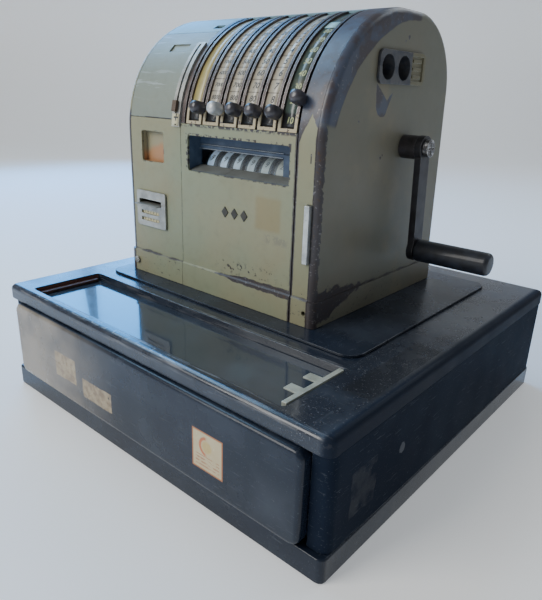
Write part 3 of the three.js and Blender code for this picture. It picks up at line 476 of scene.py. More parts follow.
def streaks(sh):
    """Painted reflections of the sky: pale stripes along the round of the casing, and a painted bluish sheen
    near its top.
    """
    angle = arch_angle(sh)
    painted_sheen_bands = sh.most(sh.inside(angle, (18, 31), 4), sh.inside(angle, (40, 56), 5))
    # Painted highlights: pale stripes where the sky reflects.
    lines = sh.clouds(5.5, 43, 0.56, 0.64, 4, grain("x", 9)) * painted_sheen_bands * 0.55
    # Painted bluish sky reflection high on the arch.
    painted_sky_sheen = sh.clouds(14, 44, 0.4, 0.6, 3, grain("x", 6))
    painted_sky_sheen = sh.inside(angle, (66, 100), 6) * painted_sky_sheen * 0.45
    return (lines, (0.40, 0.45, 0.46)), (painted_sky_sheen, (0.25, 0.42, 0.52))


def rear_marks(sh):
    return skirt_scuff(sh, 0.7), low_chips(sh)


# ---- Other surfaces ----
def black_enamel(name, marks=lambda sh: (), layers=lambda sh: (), dust=0.25, edge=2.0, shine=0.25,
                 dull=lambda sh: 0.0):
    """Glossy near-black paint with dust, fine scratches and silvery worn edges. dull gives how
    far the gloss is lost, from 0 to 1."""
    sh = Shader(name)
    color = sh.mix(sh.clouds(90, 1, 0.35, 0.65, 2), NAVY, (0.014, 0.021, 0.036))
    film = sh.clouds(45, 2, 0.42, 0.75, 6) * dust
    color = sh.mix(film, color, (0.055, 0.07, 0.10))
    color = sh.mix(sh.spots(1.6, 0.12, 3, 2), color, DUST, 0.5)
    lines = sh.most(sh.clouds(1.2, 4, 0.654, 0.684, 2, grain("x", 14)),
                    sh.clouds(1.2, 5, 0.66, 0.69, 2, grain("y", 14)))
    color = sh.mix(lines, color, DUST, 0.16)
    broken = sh.edges(edge) + sh.uneven(9, 6, 2.4, 6)
    worn = sh.most(sh.fade(broken, 0.86, 1.1), *marks(sh))
    color = sh.mix(worn, color, (0.23, 0.23, 0.24), 0.75)
    for mask, tint in layers(sh):
        color = sh.mix(mask, color, tint)
    lost = dull(sh)
    glossy = 1.0 - lost
    roughness = sh.varied(0.14, 30, 7, 0.22, 5) + lost * 0.4
    roughness = roughness + sh.most(worn, film) * 0.25
    return sh.finish(
        color, roughness, worn * 0.4,
        bumps=[(sh.noise(120, 8, 2), 0.8), (sh.noise(3, 9, 3), 0.012), (lines, 0.01)],
        specular_ior_level=glossy * shine,
        coat_weight=glossy * (0.4 * shine), coat_roughness=0.08,
    )


def lid_marks(sh):
    """Rubbed front lip and tray rims, and grains of bare metal on the right."""
    lip = sh.inside(sh.y, (LID_Y[0], LID_Y[0] + 5), 0.8)
    lip = lip * sh.fade(sh.z, LID_Z[0] + 6, LID_Z[0] + 9) * 0.8
    along = sh.inside(sh.x, TRAY_X, 2)
    back = sh.inside(sh.y, (TRAY_Y[1], TRAY_Y[1] + 3.5), 0.6) * along
    front = sh.inside(sh.y, (TRAY_Y[0] - 3, TRAY_Y[0]), 0.6) * along
    rubbed = sh.most(lip, back, front) * sh.clouds(2.6, 11, 0.5, 0.66, 4, grain("x", 16))
    grains = sh.spots(1.3, 0.3, 12, 2) * sh.inside(sh.x, LID_GRAINS_X, 14) * 0.8
    return rubbed, grains


def lid_layers(sh):
    """The tray's reddish left wall, a row of worn labels, a dark pad and the right rim."""
    wall = sh.inside(sh.x, (TRAY_X[0] - 1, TRAY_X[0] + 1), 0.4) * sh.inside(sh.y, TRAY_Y, 1)
    wall = wall * sh.fade(sh.z, LID_Z[1], LID_Z[1] - 2)
    row = sh.inside(sh.y, LID_LABELS_Y, 0.3) * sh.inside(sh.x, LID_LABELS_X, 3)
    share = sh.math("FRACT", sh.shift(sh.x, 1.2, 20, 14) / LID_LABEL_PITCH)
    label = row * sh.inside(share, (0.2, 0.86), 0.02)
    core_y = (LID_LABELS_Y[0] + 0.9, LID_LABELS_Y[1] - 0.9)
    core = sh.inside(sh.y, core_y, 0.3) * sh.inside(share, (0.23, 0.83), 0.02)
    outline = (label - core) * sh.clouds(6, 15, 0.4, 0.5)
    pad = sh.inside(sh.shift(sh.x, 5, 30, 16), LID_PAD_X, 2)
    pad = pad * sh.inside(sh.shift(sh.y, 5, 30, 17), LID_PAD_Y, 3)
    return (
        (wall * 0.8, (0.16, 0.06, 0.045)),
        (core * label * 0.5, (0.006, 0.008, 0.012)),
        (outline * 0.6, (0.30, 0.33, 0.36)),
        (pad * 0.5, (0.006, 0.007, 0.010)),
        (sh.fade(sh.x, LID_RIM_X - 1, LID_RIM_X + 3) * 0.8, NAVY),
    )


def lid_dull(sh):
    """The rim over the right side has lost its gloss."""
    return sh.fade(sh.x, LID_RIM_X - 4, LID_RIM_X + 2) * 0.85


def torn_paper(sh, range_x, range_z, seed):
    """Mask of a sticker that is partly torn away."""
    wide = sh.inside(sh.shift(sh.x, 1.6, 9, seed), range_x, 0.35)
    tall = sh.inside(sh.shift(sh.z, 1.6, 9, seed + 1), range_z, 0.35)
    left = sh.clouds(16, seed + 2, 0.37, 0.41, 5)
    return sh.least(wide, tall, left)


def drawer_label(sh, front):
    """Layers of the drawer's small label: red border, cream field, ring and lines of print."""
    def framed(inset):
        ranges = [(low + inset, high - inset) for low, high in (LABEL_X, LABEL_Z)]
        return sh.least(sh.inside(sh.x, ranges[0], 0.3), sh.inside(sh.z, ranges[1], 0.3), front)

    field = framed(1.3)
    ring = sh.distance(sh.x - LABEL_RING_X, sh.z - LABEL_RING_Z)
    disc = sh.inside(ring, (6.5, 9), 0.4) * sh.fade(sh.x, LABEL_RING_X + 1, LABEL_RING_X - 3)
    rows = sh.least(sh.inside(sh.x, (LABEL_X[0] + 4, LABEL_X[1] - 4), 0.4),
                    sh.inside(sh.z, (LABEL_Z[0] + 4, LABEL_Z[0] + 14), 0.4))
    rows = rows * sh.fade(sh.math("FRACT", sh.z / 3.2), 0.55, 0.6)
    rows = rows * sh.clouds(2.2, 88, 0.4, 0.5, 2, grain("x", 2))
    return (
        (framed(0), LABEL_RED),
        (field * 0.95, sh.mix(sh.noise(20, 89, 3), CREAM, (0.45, 0.36, 0.2))),
        (disc * field * 0.8, (0.5, 0.10, 0.03)),
        (rows * field * 0.7, (0.36, 0.10, 0.05)),
        (sh.fade(ring, 7, 4) * field * 0.6, (0.50, 0.36, 0.10)),
    )


def drawer_layers(sh):
    """A painted warm reflection and a painted bluish highlight on the drawer's front, two torn stickers and
    a small label.
    """
    front = sh.fade(sh.y, DRAWER_FACE + 3, DRAWER_FACE + 1)
    stickers = []
    for range_x, range_z, seed in STICKERS:
        tint = sh.mix(sh.clouds(6, seed + 3, 0.4, 0.65, 4), (0.40, 0.32, 0.20), (0.25, 0.18, 0.11))
        stickers.append((torn_paper(sh, range_x, range_z, seed) * front * 0.85, tint))
    cloud = 0.35 + sh.clouds(60, 90, 0.3, 0.65) * 0.65
    # Painted warm reflection, strongest at the left of the drawer's front.
    painted_warm_reflection = sh.fade(sh.x, 0, -170) * cloud * front
    # Painted bluish highlight on the right of the drawer's front.
    painted_gleam = sh.least(sh.inside(sh.shift(sh.x, 14, 30, 94), PAINTED_GLEAM_X, 14), sh.inside(sh.z, PAINTED_GLEAM_Z, 16))
    return (
        (painted_warm_reflection, (0.29, 0.25, 0.20)),
        (painted_gleam * front * 0.22, (0.10, 0.12, 0.15)),
        *stickers,
        *drawer_label(sh, front),
    )


def shell_layers(sh):
    """A flaked patch and a pale spot on the cabinet's right side."""
    right = sh.fade(sh.x, 214, 215.5)
    patch = sh.least(sh.inside(sh.shift(sh.y, 4, 12, 91), SHELL_PATCH_Y, 0.5),
                     sh.inside(sh.shift(sh.z, 4, 12, 92), SHELL_PATCH_Z, 0.5))
    away = sh.distance(sh.y - SHELL_SPOT_Y, sh.z - SHELL_SPOT_Z)
    spot = sh.fade(sh.shift(away, 3, 4, 95), 5.0, 4.2)
    return (
        (patch * right * sh.clouds(15, 93, 0.38, 0.62, 5) * 0.22, (0.13, 0.13, 0.13)),
        (spot * right * 0.35, (0.25, 0.26, 0.28)),
    )


def glass_plate(name):
    sh = Shader(name)
    color = sh.mix(sh.clouds(60, 1, 0.4, 0.8, 6), (0.018, 0.028, 0.044), (0.06, 0.085, 0.12), 0.6)
    color = sh.mix(sh.spots(1.3, 0.12, 3, 2), color, DUST, 0.35)
    return sh.finish(color, sh.varied(0.05, 18, 2, 0.13, 6), bumps=[(sh.noise(140, 4, 2), 0.35)],
                     coat_weight=0.5, coat_roughness=0.03)


def worn_metal(name, base, bright, edge=1.4, roughness=0.42, metallic=0.75, amount=0.5):
    """Bare metal, darkened by age and bright where hands rub its edges."""
    sh = Shader(name)
    color = sh.mix(sh.clouds(12, 1, 0.35, 0.7, 5), base, shade(base, 0.6))
    color = sh.mix(sh.spots(2.4, 0.25, 2), color, (0.05, 0.035, 0.03), 0.6)
    rub = sh.edges(edge) + sh.uneven(6, 3, 1.4)
    color = sh.mix(sh.fade(rub, 1.05 - amount, 1.3 - amount), color, bright)
    return sh.finish(
        color, sh.varied(roughness - 0.08, 8, 4, 0.22, 5), metallic,
        bumps=[(sh.noise(1.2, 5, 3), 0.02), (sh.noise(14, 6, 3), 0.08)],
    )


def steel(name, color=(0.42, 0.43, 0.45), along="x", rust=0.0):
    """Machined steel with fine lines along one axis."""
    sh = Shader(name)
    lines = sh.noise(0.7, 1, 3, grain(along, 40))
    tone = sh.mix(sh.fade(lines, 0.35, 0.65), color, shade(color, 0.72))
    tone = sh.mix(sh.clouds(16, 2, 0.55, 0.75, 6), tone, (0.16, 0.10, 0.06), 0.25 + rust)
    return sh.finish(tone, sh.varied(0.28, 12, 3, 0.25, 5), 0.9, bumps=[(lines, 0.015)])


def bezel_metal(name):
    """Dark worn frame with bright rubbed rims and yellowed bars at its rear."""
    sh = Shader(name)
    low, high = span("counter_bezel", "y")
    bars = sh.fade(sh.y, low + 0.66 * (high - low), low + 0.70 * (high - low))
    tone = sh.mix(sh.clouds(8, 1, 0.4, 0.65, 5), (0.105, 0.105, 0.11), (0.055, 0.06, 0.075))
    tone = sh.mix(bars, tone, (0.24, 0.215, 0.11), 0.6)
    rub = sh.edges(0.9) + sh.uneven(6, 3, 1.0)
    tone = sh.mix(sh.fade(rub, 0.35, 0.7), tone, (0.48, 0.48, 0.44))
    return sh.finish(tone, sh.varied(0.35, 8, 4, 0.2, 5), 0.45, bumps=[(sh.noise(3, 5, 3), 0.04)])


def bakelite(name, color=(0.013, 0.013, 0.018), dull=0.0):
    sh = Shader(name)
    tone = sh.mix(sh.clouds(9, 1, 0.4, 0.7, 5), color, shade(color, 2.4))
    rub = sh.edges(1.6) * sh.clouds(4, 2, 0.35, 0.65, 5)
    tone = sh.mix(rub, tone, (0.16, 0.16, 0.18), 0.35)
    tone = sh.mix(sh.spots(1.5, 0.14, 3), tone, (0.16, 0.16, 0.17), 0.5)
    return sh.finish(tone, sh.varied(0.22 + dull, 5, 4, 0.25, 5), bumps=[(sh.noise(2, 5, 4), 0.03)],
                     coat_weight=0.25, coat_roughness=0.15)


def paper(name, color):
    sh = Shader(name)
    tone = sh.mix(sh.clouds(14, 1, 0.45, 0.8, 6), color, (0.30, 0.24, 0.16), 0.35)
    fibre = sh.noise(0.6, 2, 4)
    tone = sh.mix(fibre, tone, shade(color, 0.6), 0.12)
    return sh.finish(tone, 0.45 + fibre * 0.2, bumps=[(fibre, 0.02)])


def ink(name, color):
    sh = Shader(name)
    faded = tuple(1.8 * value + 0.02 for value in color)
    tone = sh.mix(sh.clouds(1.5, 1, 0.45, 0.6, 5), color, faded)
    return sh.finish(tone, sh.varied(0.4, 4, 2, 0.2))


def wheel_paint(name, color, middle, painted_glow):
    """A number wheel's rim: a light band for the figures between two dark edges, which stand partly for dark
    paint and partly for painted shade at the wheel's sides. The band glows by the last argument, as painted
    light for a reflection of the sky.
    """
    sh = Shader(name)
    band = sh.inside(sh.x, (middle - 4.6, middle + 4.6), 0.25)
    patches = sh.noise(5, 1, 5)
    light = sh.mix(sh.fade(patches, 0.45, 0.75), color, shade(color, 0.4), 0.4)
    tone = sh.mix(band, (0.03, 0.036, 0.045), light)
    # Painted light: the band glows though nothing lights it from inside.
    return sh.finish(tone, sh.varied(0.3, 3, 2, 0.2), bumps=[(sh.noise(2, 3), 0.02)],
                     emission_color=rgba(color),
                     emission_strength=band * painted_glow * sh.fade(patches, 0.75, 0.45))


def wood(name):
    sh = Shader(name)
    wave = sh.noise(3.4, 1, 6, grain("x", 14))
    tone = sh.mix(sh.fade(wave, 0.35, 0.65), (0.27, 0.15, 0.07), (0.12, 0.062, 0.03))
    tone = sh.mix(sh.clouds(11, 2, 0.4, 0.7, 3, grain("x", 7)), tone, (0.34, 0.21, 0.11), 0.5)
    tone = sh.mix(sh.crevices(14), tone, (0.04, 0.025, 0.015), 0.6)
    return sh.finish(tone, 0.42 + wave * 0.25, bumps=[(wave, 0.08)])


def strip_paper(name, color, lines, bleach=0.65):
    """A printed column strip, bleached at its top, with a thin line round each digit's cell."""
    sh = Shader(name)
    angle = arch_angle(sh)
    step = sh.math("FRACT", (angle - (LEVER_REST - DIGIT_STEP / 2)) / DIGIT_STEP)
    near = sh.least(step, 1.0 - step)
    tone = sh.mix(sh.clouds(12, 1, 0.42, 0.75, 6), color, (0.26, 0.21, 0.15), 0.45)
    tone = sh.mix(sh.fade(near, 0.045, 0.02), tone, (0.07, 0.055, 0.05), lines)
    tone = sh.mix(sh.fade(angle, 46, 66), tone, (0.42, 0.47, 0.46), bleach)
    tone = sh.mix(sh.fade(angle, LEVER_REST + 1.2, LEVER_REST + 0.4), tone, (0.035, 0.036, 0.038))
    return sh.finish(tone, sh.varied(0.22, 8, 2, 0.2, 4), bumps=[(sh.noise(3, 3), 0.03)],
                     coat_weight=0.3, coat_roughness=0.1)


def rails(name):
    """Brown worn column ribs with bright rubbed edges, cream paint round their feet, and painted shade deep
    in the slots below the bed.
    """
    sh = Shader(name)
    tone = sh.mix(sh.clouds(14, 1, 0.35, 0.7, 5), BROWN_METAL, (0.15, 0.125, 0.12))
    rub = sh.edges(0.9) + sh.uneven(10, 2, 1.3)
    tone = sh.mix(sh.fade(rub, 0.32, 0.75), tone, (0.66, 0.66, 0.67), 0.9)
    foot = sh.fade(sh.shift(arch_angle(sh), 0.35, 5, 3), 13.2, 12.2)
    high = sh.fade(arch_radius(sh), BED_R + 0.8, BED_R + 1.6)
    column = sh.fade(sh.x, FIRST_COLUMN - 0.4, FIRST_COLUMN)
    cream = sh.least(foot, high, column) * sh.clouds(4, 4, 0.34, 0.42, 5)
    tone = sh.mix(cream, tone, (0.46, 0.39, 0.25))
    # Painted shade: near black below the bed, deep in the slots.
    tone = sh.mix(sh.fade(arch_radius(sh), BED_R - 0.3, BED_R - 1.2), tone, (0.01, 0.01, 0.012))
    return sh.finish(tone, sh.varied(0.32, 6, 5, 0.25, 4), 0.8 - cream * 0.8,
                     bumps=[(sh.noise(2.2, 6, 4), 0.05)])


def hood_paint(name):
    """Dark walls and a light grey sloping sill."""
    sh = Shader(name)
    facing = sh.add("ShaderNodeSeparateXYZ", sh.add("ShaderNodeNewGeometry").outputs["Normal"]).outputs[2]
    sill = sh.fade(facing, 0.6, 0.75) * sh.fade(sh.z, 262, 259)
    wall = sh.mix(sh.clouds(25, 1, 0.4, 0.65, 4), (0.035, 0.062, 0.115), (0.085, 0.125, 0.19))
    light = sh.mix(sh.clouds(16, 2, 0.4, 0.7, 5), (0.17, 0.18, 0.17), (0.125, 0.13, 0.12))
    crack = sh.fade(abs(sh.x - sh.shift(-18.0, 2.5, 12, 3)), 0.5, 0.2)
    light = sh.mix(crack, light, (0.05, 0.045, 0.04), 0.8)
    light = sh.mix(sh.spots(4, 0.18, 4) * sh.fade(sh.y, -73, -76), light, (0.08, 0.07, 0.06))
    return sh.finish(sh.mix(sill, wall, light), sh.varied(0.35, 9, 5, 0.2, 4),
                     bumps=[(sh.noise(8, 6), 0.05)])


def amber_plate(name):
    sh = Shader(name)
    slope = (sh.x - (-125)) * 0.35 + 272 - sh.z
    tone = sh.mix(sh.fade(sh.shift(slope, 4, 14, 1), -4, 5), (0.30, 0.27, 0.17), (0.40, 0.21, 0.10))
    # Painted shadow deep in corners and gaps.
    tone = sh.mix(sh.crevices(5), tone, (0.05, 0.035, 0.03), 0.7)
    return sh.finish(tone, 0.42, bumps=[(sh.noise(9, 2, 4), 0.06)], coat_weight=0.2, coat_roughness=0.2)


def window_glass(name):
    sh = Shader(name)
    smear = sh.clouds(12, 1, 0.4, 0.8, 5)
    clear = sh.add("ShaderNodeBsdfTransparent", (0.86, 0.9, 0.92, 1.0)).outputs[0]
    gloss = sh.add("ShaderNodeBsdfGlossy", (0.9, 0.95, 1.0, 1.0)).outputs[0]
    sh.feed(sh.nodes[-1], roughness=0.05)
    outside = sh.math("SUBTRACT", 1.0, sh.add("ShaderNodeNewGeometry").outputs["Backfacing"])
    share = outside * (0.05 + smear * 0.04)
    blend = sh.add("ShaderNodeMixShader", share, clear, gloss).outputs[0]
    sh.add("ShaderNodeOutputMaterial", blend)
    return sh.material


# ---- Building pieces ----
def scaled(mesh, material):
    """Turns a mesh drawn in millimetres into metres and gives it a finish."""
    mesh.transform(Matrix.Scale(MM, 4))
    mesh.materials.append(material)
    mesh.polygons.foreach_set("use_smooth", [True] * len(mesh.polygons))
    return mesh


def linked(name, data):
    obj = bpy.data.objects.new(name, data)
    bpy.context.scene.collection.objects.link(obj)
    return obj


def piece(name, mesh, material, body="root", node=None):
    """Links a piece that rides on a CAD body and may stand for a CAD node."""
    obj = linked(name, scaled(mesh, material))
    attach(obj, body)
    if node:
        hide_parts(node)
    return obj


def to_mesh(bm, name):
    bmesh.ops.recalc_face_normals(bm, faces=bm.faces)
    mesh = bpy.data.meshes.new(name)
    bm.to_mesh(mesh)
    bm.free()
    return mesh


def add_solid(bm, outline, depth, place):
    """Extrudes a flat outline of (x, y) points from depth[0] to depth[1] along z."""
    add_rings(bm, [[place @ Vector((x, y, z)) for x, y in outline] for z in depth])


def add_rings(bm, rings):
    """Joins rings of points in turn and closes both ends."""
    rings = [[bm.verts.new(point) for point in ring] for ring in rings]
    for ring, after in zip(rings, rings[1:]):
        for k in range(len(ring)):
            m = (k + 1) % len(ring)
            bm.faces.new((ring[k], ring[m], after[m], after[k]))
    bm.faces.new(rings[0])
    bm.faces.new(rings[-1])


def add_lathe(bm, profile, place, sides=64):
    """Turns a profile of (radius, height) points round z."""
    turns = [2 * math.pi * k / sides for k in range(sides)]
    add_rings(bm, [
        [place @ Vector((radius * math.cos(turn), radius * math.sin(turn), height)) for turn in turns]
        for radius, height in profile
    ])


def soften(obj, width, angle=32):
    """Rounds the sharp edges of an object and smooths its shading."""
    weld = obj.modifiers.new("weld", "WELD")
    weld.merge_threshold = 0.00002
    bevel = obj.modifiers.new("bevel", "BEVEL")
    bevel.width = width * MM
    bevel.segments = 2
    bevel.limit_method = "ANGLE"
    bevel.angle_limit = math.radians(angle)
    obj.modifiers.new("normals", "WEIGHTED_NORMAL")
    obj.data.polygons.foreach_set("use_smooth", [True] * len(obj.data.polygons))


# ---- Print wrapped on round surfaces ----
def lettering(text, size):
    """A flat mesh of a text, centred on the origin."""
    curve = bpy.data.curves.new("text", "FONT")
    curve.body = text
    curve.size = size
    curve.shear = 0.15
    curve.offset = 0.02 * size
    curve.align_x = curve.align_y = "CENTER"
    holder = bpy.data.objects.new("text", curve)
    mesh = bpy.data.meshes.new_from_object(holder)
    bpy.data.objects.remove(holder)
    bpy.data.curves.remove(curve)
    return mesh


def printed(items, bend, pitch):
    """A mesh of texts (text, size, x, y) cut into bands a pitch high and bent round a surface."""
    bm = bmesh.new()
    for text, size, x, y in items:
        mesh = lettering(text, size)
        mesh.transform(Matrix.Translation((x, y, 0)))
        bm.from_mesh(mesh)
        bpy.data.meshes.remove(mesh)
    heights = [v.co.y for v in bm.verts]
    level = min(heights) + pitch
    while level < max(heights):
        everything = bm.verts[:] + bm.edges[:] + bm.faces[:]
        bmesh.ops.bisect_plane(bm, geom=everything, plane_co=(0, level, 0), plane_no=(0, 1, 0))
        level += pitch
    for vertex in bm.verts:
        vertex.co = bend(vertex.co.x, vertex.co.y)
    mesh = bpy.data.meshes.new("print")
    bm.to_mesh(mesh)
    bm.free()
    return mesh


def arch_point(x, angle, radius):
    """A point on the front arch, from its angle in degrees above the levers' axis."""
    turn = math.radians(angle)
    return Vector((x, ARCH_Y - radius * math.cos(turn), ARCH_Z + radius * math.sin(turn)))


def arch_patch(range_x, angles, radius, thick):
    """A thin sheet bent on the arch."""
    bm = bmesh.new()
    count = max(2, round((angles[1] - angles[0]) / 1.5))
    outer = radius + thick
    corners = ((range_x[0], radius), (range_x[1], radius), (range_x[1], outer), (range_x[0], outer))
    turns = [angles[0] + (angles[1] - angles[0]) * k / count for k in range(count + 1)]
    add_rings(bm, [[arch_point(x, angle, r) for x, r in corners] for angle in turns])
    return to_mesh(bm, "patch")


# ---- Columns: number strips, levers, indicator ----
STRIP_R = BED_R + 0.05
STRIP_T = 0.25
STRIP_ANGLES = (7.1, 76.8)
INK_R = STRIP_R + STRIP_T + 0.04
STEPS = 10


def column_left(i):
    return FIRST_COLUMN + i * PITCH


def strip_range(i):
    left = column_left(i) + RIB_W
    return left + 0.1, column_left(i) + PITCH - SLOT_W - RIB_W - 0.1


def column_numbers(i):
    """Texts of a column from its foot upwards, and the size of their print in millimetres."""
    if i == 0:
        return ["-"], 5.0
    if i == LEVERS - 1:
        return [str(10 * (k + 1)) for k in range(STEPS - 1)], 7.6
    zeros = LEVERS - 2 - i
    return [str(9 - k) + "0" * zeros for k in range(STEPS)], (8.6, 7.8, 6.6, 5.4)[zeros]


def arch_print(name, marks, radius, finish):
    """Texts (text, size, x, angle) printed on the arch at a radius."""
    per_degree = math.radians(1) * radius
    items = [(text, size, x, angle * per_degree) for text, size, x, angle in marks]
    mesh = printed(items, lambda x, y: arch_point(x, y / per_degree, radius), 3)
    piece(name, mesh, finish)


def number_strip(i, papers, inks):
    strip = arch_patch(strip_range(i), STRIP_ANGLES, STRIP_R, STRIP_T)
    piece(f"number_strip_{i + 1}", strip, papers[i])
    texts, size = column_numbers(i)
    middle = sum(strip_range(i)) / 2
    marks = [(text, size, middle, LEVER_REST + k * DIGIT_STEP if k else LEVER_REST - 2.2)
             for k, text in enumerate(texts)]
    arch_print(f"numbers_{i + 1}", marks, INK_R, inks[i])


def tape_piece(material):
    """Light tape stuck across the top of the last column."""
    low, high = strip_range(LEVERS - 1)
    mesh = arch_patch((low + 0.4, high - 0.6), (57.2, 62.6), INK_R + 0.05, 0.15)
    piece("column_tape", mesh, material)


KNOB_START = 120.5
KNOB_PROFILE = (
    (3.0, -0.3), (4.8, 0.0), (5.6, 0.8), (6.0, 2.2), (6.2, 4.5), (6.2, 9.0),
    (6.0, 10.8), (5.5, 12.2), (4.5, 13.4), (3.0, 14.2), (1.4, 14.5), (0.3, 14.55),
)


def lever(i, steel_finish, knob_finish):
    """A setting lever at the digit it shows at rest: a flat arm out of a hub, and a turned knob."""
    body = f"lever_{i + 1}"
    angle = LEVER_REST - JOINTS[f"{body}_set"]["range_deg"][0]
    place = Matrix.Translation(pivot(f"{body}_set")) @ Matrix.Rotation(math.radians(90 - angle), 4, "X")
    bm = bmesh.new()
    add_solid(bm, [(-0.9, -4), (0.9, -4), (0.9, 4), (-0.9, 4)], (0, KNOB_START + 0.3), place)
    add_lathe(bm, ((9, -5), (9, 5)), place @ Matrix.Rotation(math.pi / 2, 4, "Y"))
    arm = piece(f"{body}_arm", to_mesh(bm, "arm"), steel_finish, body, f"set_lever_{i + 1}")
    soften(arm, 0.3)
    bm = bmesh.new()
    add_lathe(bm, KNOB_PROFILE, place @ Matrix.Translation((0, 0, KNOB_START)))
    piece(f"{body}_knob", to_mesh(bm, "knob"), knob_finish, body)


WHEEL_R = 20
WHEEL_HALF = (span("indicator_wheel_1", "x")[1] - span("indicator_wheel_1", "x")[0]) / 2
WHEEL_DIGIT_ANGLE = 38
WHEEL_RIM = ((4.2, 0.0), (19.2, 0.0), (19.9, 0.3), (20.0, 0.8), (19.7, 1.0))


def wheel(i, finish, ink_finish):
    """A number wheel; its figures follow the column's numbers, one for each step."""
    axis = Vector(pivot(f"wheel_{i + 1}_turn"))
    bm = bmesh.new()
    left = [(radius, depth - WHEEL_HALF) for radius, depth in WHEEL_RIM]
    right = [(radius, -place) for radius, place in reversed(left)]
    add_lathe(bm, left + right, Matrix.Translation(axis) @ Matrix.Rotation(math.pi / 2, 4, "Y"), 96)
    body = f"wheel_{i + 1}"
    drum = piece(f"number_wheel_{i + 1}", to_mesh(bm, "wheel"), finish, body,
                 f"indicator_wheel_{i + 1}")
    soften(drum, 0.15, 50)
    radius = WHEEL_R - 0.3 + 0.06
    upwards = i == LEVERS - 1
    items = []
    for k in range(STEPS):
        digit = (k + 2) % STEPS if upwards else 9 - k
        items.append((str(digit), 8.5, axis.x, -k * 2 * math.pi * radius / STEPS))

    def bend(x, y):
        turn = math.radians(WHEEL_DIGIT_ANGLE) + y / radius
        return Vector((x, axis.y - radius * math.cos(turn), axis.z + radius * math.sin(turn)))

    piece(f"wheel_numbers_{i + 1}", printed(items, bend, 1.2), ink_finish, body)


# ---- Trim ----
def slab(name, low, high, finish, round_edge=0.2):
    bm = bmesh.new()
    middle = [(a + b) / 2 for a, b in zip(low, high)]
    size = [b - a for a, b in zip(low, high)]
    place = Matrix.Translation(middle) @ Matrix.Diagonal((*size, 1))
    bmesh.ops.create_cube(bm, size=1, matrix=place)
    soften(piece(name, to_mesh(bm, name), finish), round_edge)


def pane_trim(finish):
    """Two thin rails over the indicator's pane."""
    for k, z in enumerate((273.4, 277.4)):
        low = (PANE_X[0] + 0.5, -64.4 + 1.4 * k, z)
        high = (PANE_X[1], -63.6 + 1.4 * k, z + 0.7)
        slab(f"pane_rail_{k + 1}", low, high, finish)


def badge(finish):
    """Three plain raised lozenges in the place of the maker's letters."""
    for k, x in enumerate((-13, 0, 13)):
        bm = bmesh.new()
        outline = [(x - 4.6, 0), (x, -5.6), (x + 4.6, 0), (x, 5.6)]
        place = Matrix.Translation((0, CASE_FRONT, 217)) @ Matrix.Rotation(math.pi / 2, 4, "X")
        add_solid(bm, outline, (0.05, 0.9), place)
        soften(piece(f"badge_{k + 1}", to_mesh(bm, "badge"), finish), 0.25)


SCREW_PROFILE = ((4.2, 0.0), (4.2, 0.5), (3.9, 1.0), (3.0, 1.35), (1.6, 1.5), (0.3, 1.55))


def slotted_screw(name, spot, outward, finish):
    """A low round head with a slot, its back on the spot and its face outwards."""
    bm = bmesh.new()
    place = Matrix.Translation(spot) @ Vector(outward).to_track_quat("Z", "Y").to_matrix().to_4x4()
    add_lathe(bm, SCREW_PROFILE, place, 32)
    for side in (-1, 1):
        outline = [(-3.4, side * 0.5), (3.4, side * 0.5), (3.2, side * 1.0), (-3.2, side * 1.0)]
        add_solid(bm, outline[::side], (0.8, 1.75), place)
    soften(piece(name, to_mesh(bm, name), finish), 0.12)


def rear_screws(finish):
    """Four screws that hold the rear cover, which leans back towards its foot."""
    foot = span("rear_cover", "y")[1] - SKIRT_PROUD
    top_y, top_z = REAR_WALL_TOP
    lean = (foot - top_y) / (top_z - CASE_FOOT)
    for k, (x, z) in enumerate(itertools.product((-148, 80), (144, 318))):
        slotted_screw(f"rear_screw_{k + 1}", (x, foot - lean * (z - CASE_FOOT) - 0.1, z), (0, 1, 0), finish)


def receipt_strips(finish, ink_finish):
    """Paper behind the two small windows of the receipt plate, with a row of figures in each."""
    face = CASE_FRONT - 0.06
    slab("receipt_paper", (-148, face - 0.16, 186.5), (-113, face, 201.5), finish, 0.02)
    bend = lambda x, y: Vector((x, face - 0.2, y))
    items = [(str((3 * k + row) % 10), 4.2, 5 * k - 143, z)
             for row, z in enumerate((190, 198)) for k in range(6)]
    piece("receipt_figures", printed(items, bend, 20), ink_finish)


SIGN_ANGLES = (7.4, 4.8)


def selector_label(finish, ink_finish):
    """A cream plate with a plus and a minus sign at the foot of the selector's guide."""
    low, high = span("selector_guide", "x")
    radius = 122.25
    label = arch_patch((low + 0.6, high - 0.6), (3.8, 9.4), radius, 0.12)
    piece("selector_label", label, finish)
    middle = (low + high) / 2
    signs = [("+", 13, middle, SIGN_ANGLES[0]), ("-", 10, middle, SIGN_ANGLES[1])]
    arch_print("selector_signs", signs, radius + 0.16, ink_finish)


